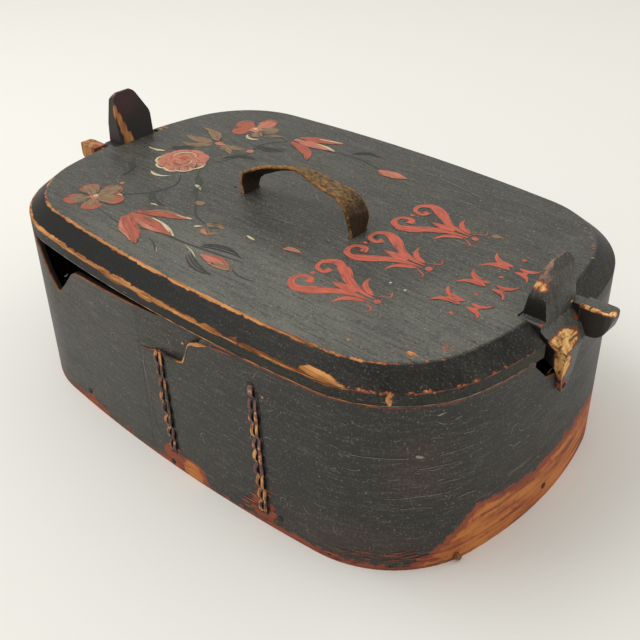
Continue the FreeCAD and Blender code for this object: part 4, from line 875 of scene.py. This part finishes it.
def paint_scrolls(art):
    """A generic scroll ornament: three sprays of mirrored curls with buds, and a row of commas and dots."""
    curl = ((0, 1.2, 0.4), (-9, 2.2, 1.3), (-19, 6, 2.6), (-27, 12, 3.3), (-35, 15.5, 2.6), (-41, 11.5, 1.6),
            (-40, 5.5, 1.2), (-34.5, 4.6, 1.7), (-33, 8.4, 2.1))
    for middle, size in ((-58, 1.15), (-12, 1.12), (34, 1.15)):
        for hand in (1, -1):
            art.stroke("scroll", *((103 + x * size, middle + hand * y * size, w * size) for x, y, w in curl))
            art.leaf("scroll", 101, middle + hand * 4, 88, middle + hand * 17, 4.2, 0.2 * hand)
            art.line("scroll", 0.9, (100, middle + hand * 3), (109, middle + hand * 8), (107, middle + hand * 13))
        art.leaf("scroll", 92, middle, 74, middle, 6.5)
        art.each("dot", "scroll", (107, middle, 2.2), (60, middle, 1.5))
    for middle in (-29, -5, 19):
        for hand in (1, -1):
            art.leaf("scroll", 142, middle + hand * 2.4, 126, middle + hand * 9.5, 4.4, 0.22 * hand)
            art.leaf("scroll", 146, middle + hand * 2.6, 157, middle + hand * 8.5, 3.4, -0.22 * hand)
        art.each("dot", "scroll", (134, middle, 1.9), (151, middle, 1.6))
    art.each("dot", "scroll", *((143, middle, 1.4) for middle in (-41, -17, 7, 31)))


def paint_scratches(art):
    """Pale hairline scratches in the top, and chips at its back right edge."""
    art.each("line", "scratch", (0.45, (100, -57), (126, -58), (150, -58)), (0.35, (60, 20), (84, 26), (100, 25)),
             (0.35, (-20, -30), (2, -24), (24, -22)), (0.35, (-60, 30), (-34, 38), (-2, 40)),
             (0.35, (20, 92), (52, 88), (80, 82)))
    scuffs(art, "scratch", 120, (-150, 150), (-84, 84), 3, 0.35)
    for a, b, half, width in ((150, 89, 0.9, 0.3), (155, 85, 0.7, 0.5), (158.2, 81, 1.1, 0.4), (160, 79, 0.5, 0.3),
                              (164.5, 72, 1.2, 0.7), (166, 69.6, 0.8, 0.4), (171, 59, 1.1, 0.7)):
        art.line("chip", width, (a - half, b - half * 0.8), (a, b + 0.2), (a + half * 0.9, b + half * 0.5))


def paint_seam(art):
    """Rubbed arris of the ogee, and grime and painted shade in and beside the two rows of lacing."""
    # painted shade with grime: a dark strip behind each row's strands, and a narrower dark strip to its right where
    # the row casts shade
    for x, low, high in ((ROW_LEFT, 12, 87), (ROW_RIGHT, 8, 97)):
        for shift, half in ((0.2, 3.4), (3.6, 1.5)):
            for k in range(4):
                a, b = low + (high - low) * (k + (shift > 1) * 0.15) / 4, low + (high - low) * (k + 1) / 4
                art.stroke("grime", *((x + shift - (z - ROW_MIDDLE) * math.tan(math.radians(ROW_LEAN)), z, half * wide)
                                      for z, wide in ((a, 0.8), (a * 0.7 + b * 0.3, 1), (b, 0.8))))
    # painted shade: a black dot in the hole at the top of the right row, then a dark stroke of the same paint by the
    # top of the left row
    art.dot("grime", 74.9, 100.6, 2.0)
    art.stroke("grime", (1, 89.5, 0.4), (4.5, 87.6, 1.2), (9, 88.6, 0.9), (16, 90.4, 0.3))
    # a dark brown line along the lower, left part of the ogee's arris
    art.line("arris_dark", 0.8, (-14.5, 84.2), (-11.8, 84.5), (-6, 86.4), (-1, 88.1), (2, 87.3), (5.5, 86.8), (12, 88),
             (17.2, 89))
    art.stroke("arris", (15, 88.6, 0.2), (20.6, 90.6, 0.4), (22.7, 94.2, 0.55), (25.6, 101, 0.5), (28, 105.7, 0.55),
               (31, 107.9, 0.7), (36.3, 109.8, 0.3))
    art.stroke("arris", (30, 107.2, 0.3), (34.5, 108.8, 1.1), (40, 111.2, 0.9), (46, 112.6, 0.2))
    art.line("rubbed", 1.1, (37, 111), (48.4, 112.9), (58.4, 113.7), (67, 114))


def paint_wear(art):
    """Red streaks along the grain at the foot of the rows and the corner, and pale hairlines everywhere."""
    dice = random.Random(8)
    for middle, top, reach, count, woody in ((77.5, 30, 21, 60, 0.28), (2, 19, 16, 26, 0.28), (160, 14, 60, 50, 0.06),
                                             (-70, 7, 60, 24, 0.28)):
        for _ in range(count):
            z = dice.uniform(0.6, top)
            a = middle + dice.uniform(-1, 0.6) * reach * (1.05 - z / top * 0.75)
            run, slip = dice.uniform(2, 9), dice.uniform(-0.5, 0.9)
            paint = "foot_wood" if dice.random() < woody else "rubbed"
            art.line(paint, dice.uniform(0.3, 1.0), (a, z), (a + run / 2, z + slip / 2), (a + run, z + slip))
    scuffs(art, "scratch", 60, (-112, 150), (10, 108), 5, 0.55)
    scuffs(art, "scratch", 24, (150, 262), (40, 108), 6, 0.4)
    for _ in range(12):
        a, z, run = dice.uniform(120, 235), dice.uniform(34, 104), dice.uniform(12, 30)
        art.line("scratch", 0.2, (a, z), (a + run / 2, z + 0.5), (a + run, z + dice.uniform(-1, 1)))
    for _ in range(14):
        a, z, size = dice.uniform(-100, 250), dice.uniform(20, 100), dice.uniform(1.5, 4)
        art.line("scratch", 0.3, *((a + size * across, z + size * up)
                                   for across, up in ((0, 0), (0.2, 1), (1, 1.3), (1.5, 1))))
    art.each("dot", "chip", (23.2, 104.7, 0.9), (83.2, 95.9, 0.8))
    art.line("scratch", 0.45, (-15.6, 84), (-17.1, 72), (-15.8, 57), (-14.7, 37), (-12.4, 22), (-6, 14))
    art.each("leaf", "scratch", (172, 84, 177, 82.5, 2.4), (182, 109, 187, 110.5, 1.0))


def paint_lip(art):
    """The thin bright line along the lip's lower edge, pale at the left and reddish at the right."""
    dice = random.Random(4)
    a = -150.0
    while a < 225:
        run = dice.uniform(6, 20)
        paint = "arris" if -30 < a < 140 else "scratch"
        art.line(paint, dice.uniform(0.4, 0.75), *((a + run * far, LID_FOOT + up)
                                                   for far, up in ((0, 0.5), (0.5, 0.6), (1, 0.5))))
        if dice.random() < 0.5:
            art.line("rubbed" if a > 118 else "arris", dice.uniform(0.6, 1.2),
                     *((a + run * far, BEVEL_FOOT + up) for far, up in ((0, 0.1), (0.4, 0), (0.8, 0.2))))
        a += run * dice.uniform(0.75, 1.1)
    scuffs(art, "scratch", 12, (-150, 250), (117, 123), 6, 0.12)


# each paint's material, its colour where a user would not change it, and how far it is worn
PAINTS = {
    "red": ("Brick distemper", None, 0.25), "salmon": ("Salmon distemper", None, 0.2),
    "ochre": ("Ochre distemper", None, 0.3), "cream": ("Cream distemper", None, 0.1),
    "stem": ("Dark green distemper", None, 0.75), "scroll": ("Red lead scroll paint", None, 0.1),
    "scratch": ("Pale scratch in paint", "#8f8b7e", 0.5), "chip": ("Chip in paint", "#c9a070", 0.2),
    # grime: painted shade and grime in and beside the lacing
    "grime": ("Grime beside the lacing", "#0a0807", 0.1), "arris": ("Rubbed arris", "#d2904c", 0.3),
    "arris_dark": ("Dirty arris", "#4a3020", 0.2), "rubbed": ("Rubbed primer", "#8e3f2b", 0.45),
    "foot_wood": ("Rubbed foot", "#b8662f", 0.4),
}


def hang_painting(name, art, under, body):
    """Makes one mesh of a painter's strokes, with a material for each paint, and lets it ride on its body."""
    used = [key for key in PAINTS if key in art.paints]
    piece = new_piece(name, art.verts, art.faces, art.uvs, edge=art.edges)
    for key in used:
        title, tint, worn = PAINTS[key]
        tint = linear(tint) if tint else tuple(getattr(bpy.context.scene.tine_flowers, key))
        piece.data.materials.append(stroke_paint(title, tint, worn, under))
    for face, paint in zip(piece.data.polygons, art.paints):
        face.material_index = used.index(paint)
    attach(piece, body)


# ---------- the operators

class TINE_OT_wall(bpy.types.Operator):
    """Finish the wall, the bottom board and the pegs"""
    bl_idname = "tine.wall"
    bl_label = "Wall and bottom"

    def execute(self, context):
        dress("wall_band", wall_paint())
        dress("bottom_board", raw_wood("Aged bare pine board", "#937350", "#5f452d", (0.06, 1.0, 1.0), 240))
        peg = raw_wood("Whittled juniper pegs, painted over", "#3d2a21", "#1e1512", (1.0, 1.0, 1.0), 500)
        loose = raw_wood("Whittled juniper peg, bare", "#b07a45", "#6d4526", (1.0, 1.0, 1.0), 500)
        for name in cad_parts:
            if "peg" in name or "pin" in name:
                dress(name, loose if name == "bottom_peg_12" else peg)
        return {"FINISHED"}


class TINE_OT_lid(bpy.types.Operator):
    """Finish the lid board"""
    bl_idname = "tine.lid"
    bl_label = "Lid"

    def execute(self, context):
        dress("lid_board", lid_paint())
        return {"FINISHED"}


class TINE_OT_posts(bpy.types.Operator):
    """Finish the two carved posts"""
    bl_idname = "tine.posts"
    bl_label = "Posts"

    def execute(self, context):
        carved = post_paint()
        for name in ("post_right", "post_left"):
            dress(name, carved)
        return {"FINISHED"}


class TINE_OT_lacing(bpy.types.Operator):
    """Lace the two rows of root through the lap"""
    bl_idname = "tine.lacing"
    bl_label = "Lacing"

    def execute(self, context):
        tree, root = chain_tree(), root_finish()
        for side, x, low, count, bars in (("left", ROW_LEFT, 14, 8, 0), ("right", ROW_RIGHT, 9, 10, 1)):
            piece = lace_row("root_lacing_" + side, tree, root, x, low, count, bars)
            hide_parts("lap_lacing_" + side)
            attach(piece, "box")
        return {"FINISHED"}


class TINE_OT_strap(bpy.types.Operator):
    """Bend the leather strap through the lid"""
    bl_idname = "tine.strap"
    bl_label = "Strap"

    def execute(self, context):
        piece = strap_piece("leather_strap")
        piece.data.materials.append(leather())
        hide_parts("strap_handle")
        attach(piece, "lid")
        return {"FINISHED"}


class TINE_OT_painting(bpy.types.Operator):
    """Paint the flowers and the scroll ornament on the lid"""
    bl_idname = "tine.painting"
    bl_label = "Flowers and scrolls"

    def execute(self, context):
        lift = context.scene.tine_flowers.lift
        board, lip, wall = Painter(on_board, lift), Painter(on_ring, lift), Painter(on_ring, lift)
        for paint in (paint_stems, paint_round_flowers, paint_leaves, paint_tulips, paint_scrolls, paint_scratches):
            paint(board)
        paint_lip(lip)
        paint_seam(wall)
        paint_wear(wall)
        hang_painting("lid_painting", board, context.scene.tine_paint.ground, "lid")
        hang_painting("lip_wear", lip, LIP, "lid")
        hang_painting("wall_marks", wall, WALL, "box")
        return {"FINISHED"}


class TINE_OT_stage(bpy.types.Operator):
    """Set the camera, the floor and the soft lights"""
    bl_idname = "tine.stage"
    bl_label = "Stage"

    def execute(self, context):
        scene, stage = context.scene, context.scene.tine_stage
        lens = bpy.data.cameras.new("Camera")
        lens.lens, lens.sensor_width = stage.lens, 36
        # the picture's middle is 5 of its 640 pixels off the axis
        lens.shift_x = lens.shift_y = -5 / 640
        scene.camera = bpy.data.objects.new("Camera", lens)
        scene.camera.matrix_world = Matrix.Translation(CAMERA_PLACE) @ Matrix(CAMERA_TURN).to_4x4()
        scene.collection.objects.link(scene.camera)

        floor = new_piece("floor", [(-6, -6, 0), (6, -6, 0), (6, 6, 0), (-6, 6, 0)], [(0, 1, 2, 3)])
        # the paper is matt, with a fine tooth
        material, add, place, _ = new_material("Matt white paper")
        tooth = add(NOISE, place, 900, 2.0)
        finish(add, stage.floor, add(RANGE, tooth, 0, 1, 0.85, 0.95), tooth, 0.00002, specular=0.2)
        floor.data.materials.append(material)

        scene.world = bpy.data.worlds.new("Studio")
        scene.world.use_nodes = True
        scene.world.node_tree.nodes.clear()
        add = partial(add_node, scene.world.node_tree)
        rays = add("ShaderNodeLightPath").outputs
        seen = fold(add, "MAXIMUM", *(rays[f"Is {kind} Ray"] for kind in ("Camera", "Glossy", "Transmission")))
        light = add("ShaderNodeBackground", "#f4f2ee", 0.8)
        shown = add("ShaderNodeBackground", "#eeede7", 0.85)
        add("ShaderNodeOutputWorld", add("ShaderNodeMixShader", seen, light, shown))

        for name, place, size, power in (("key", (-0.75, -0.45, 1.5), 1.2, stage.key),
                                         ("fill", (0.8, 0.9, 1.3), 1.5, stage.fill)):
            lamp = bpy.data.lights.new(name, "AREA")
            lamp.energy, lamp.size = power, size
            holder = bpy.data.objects.new(name, lamp)
            holder.location = place
            aim = Vector((0, 0, 0.05)) - Vector(place)
            holder.rotation_euler = aim.to_track_quat("-Z", "Y").to_euler()
            scene.collection.objects.link(holder)
        scene.view_settings.view_transform = "Standard"
        return {"FINISHED"}


class TINE_PT_panel(bpy.types.Panel):
    """The steps of the finish"""
    bl_label = "Tine box"
    bl_space_type = "VIEW_3D"
    bl_region_type = "UI"
    bl_category = "Tine box"

    def draw(self, context):
        for step in STEPS:
            self.layout.operator(step.bl_idname)


GROUPS = {"tine_paint": TinePaint, "tine_lacing": TineLacing, "tine_strap": TineStrap,
          "tine_flowers": TineFlowers, "tine_stage": TineStage}
STEPS = (TINE_OT_wall, TINE_OT_lid, TINE_OT_posts, TINE_OT_lacing, TINE_OT_strap, TINE_OT_painting, TINE_OT_stage)


def register():
    for kind in (*GROUPS.values(), *STEPS, TINE_PT_panel):
        bpy.utils.register_class(kind)
    for name, kind in GROUPS.items():
        setattr(bpy.types.Scene, name, bpy.props.PointerProperty(type=kind))


def unregister():
    for name in GROUPS:
        delattr(bpy.types.Scene, name)
    for kind in (TINE_PT_panel, *reversed(STEPS), *GROUPS.values()):
        bpy.utils.unregister_class(kind)


def main():
    register()
    for step in STEPS:
        group, name = step.bl_idname.split(".")
        getattr(getattr(bpy.ops, group), name)()


if __name__ == "__main__":
    main()
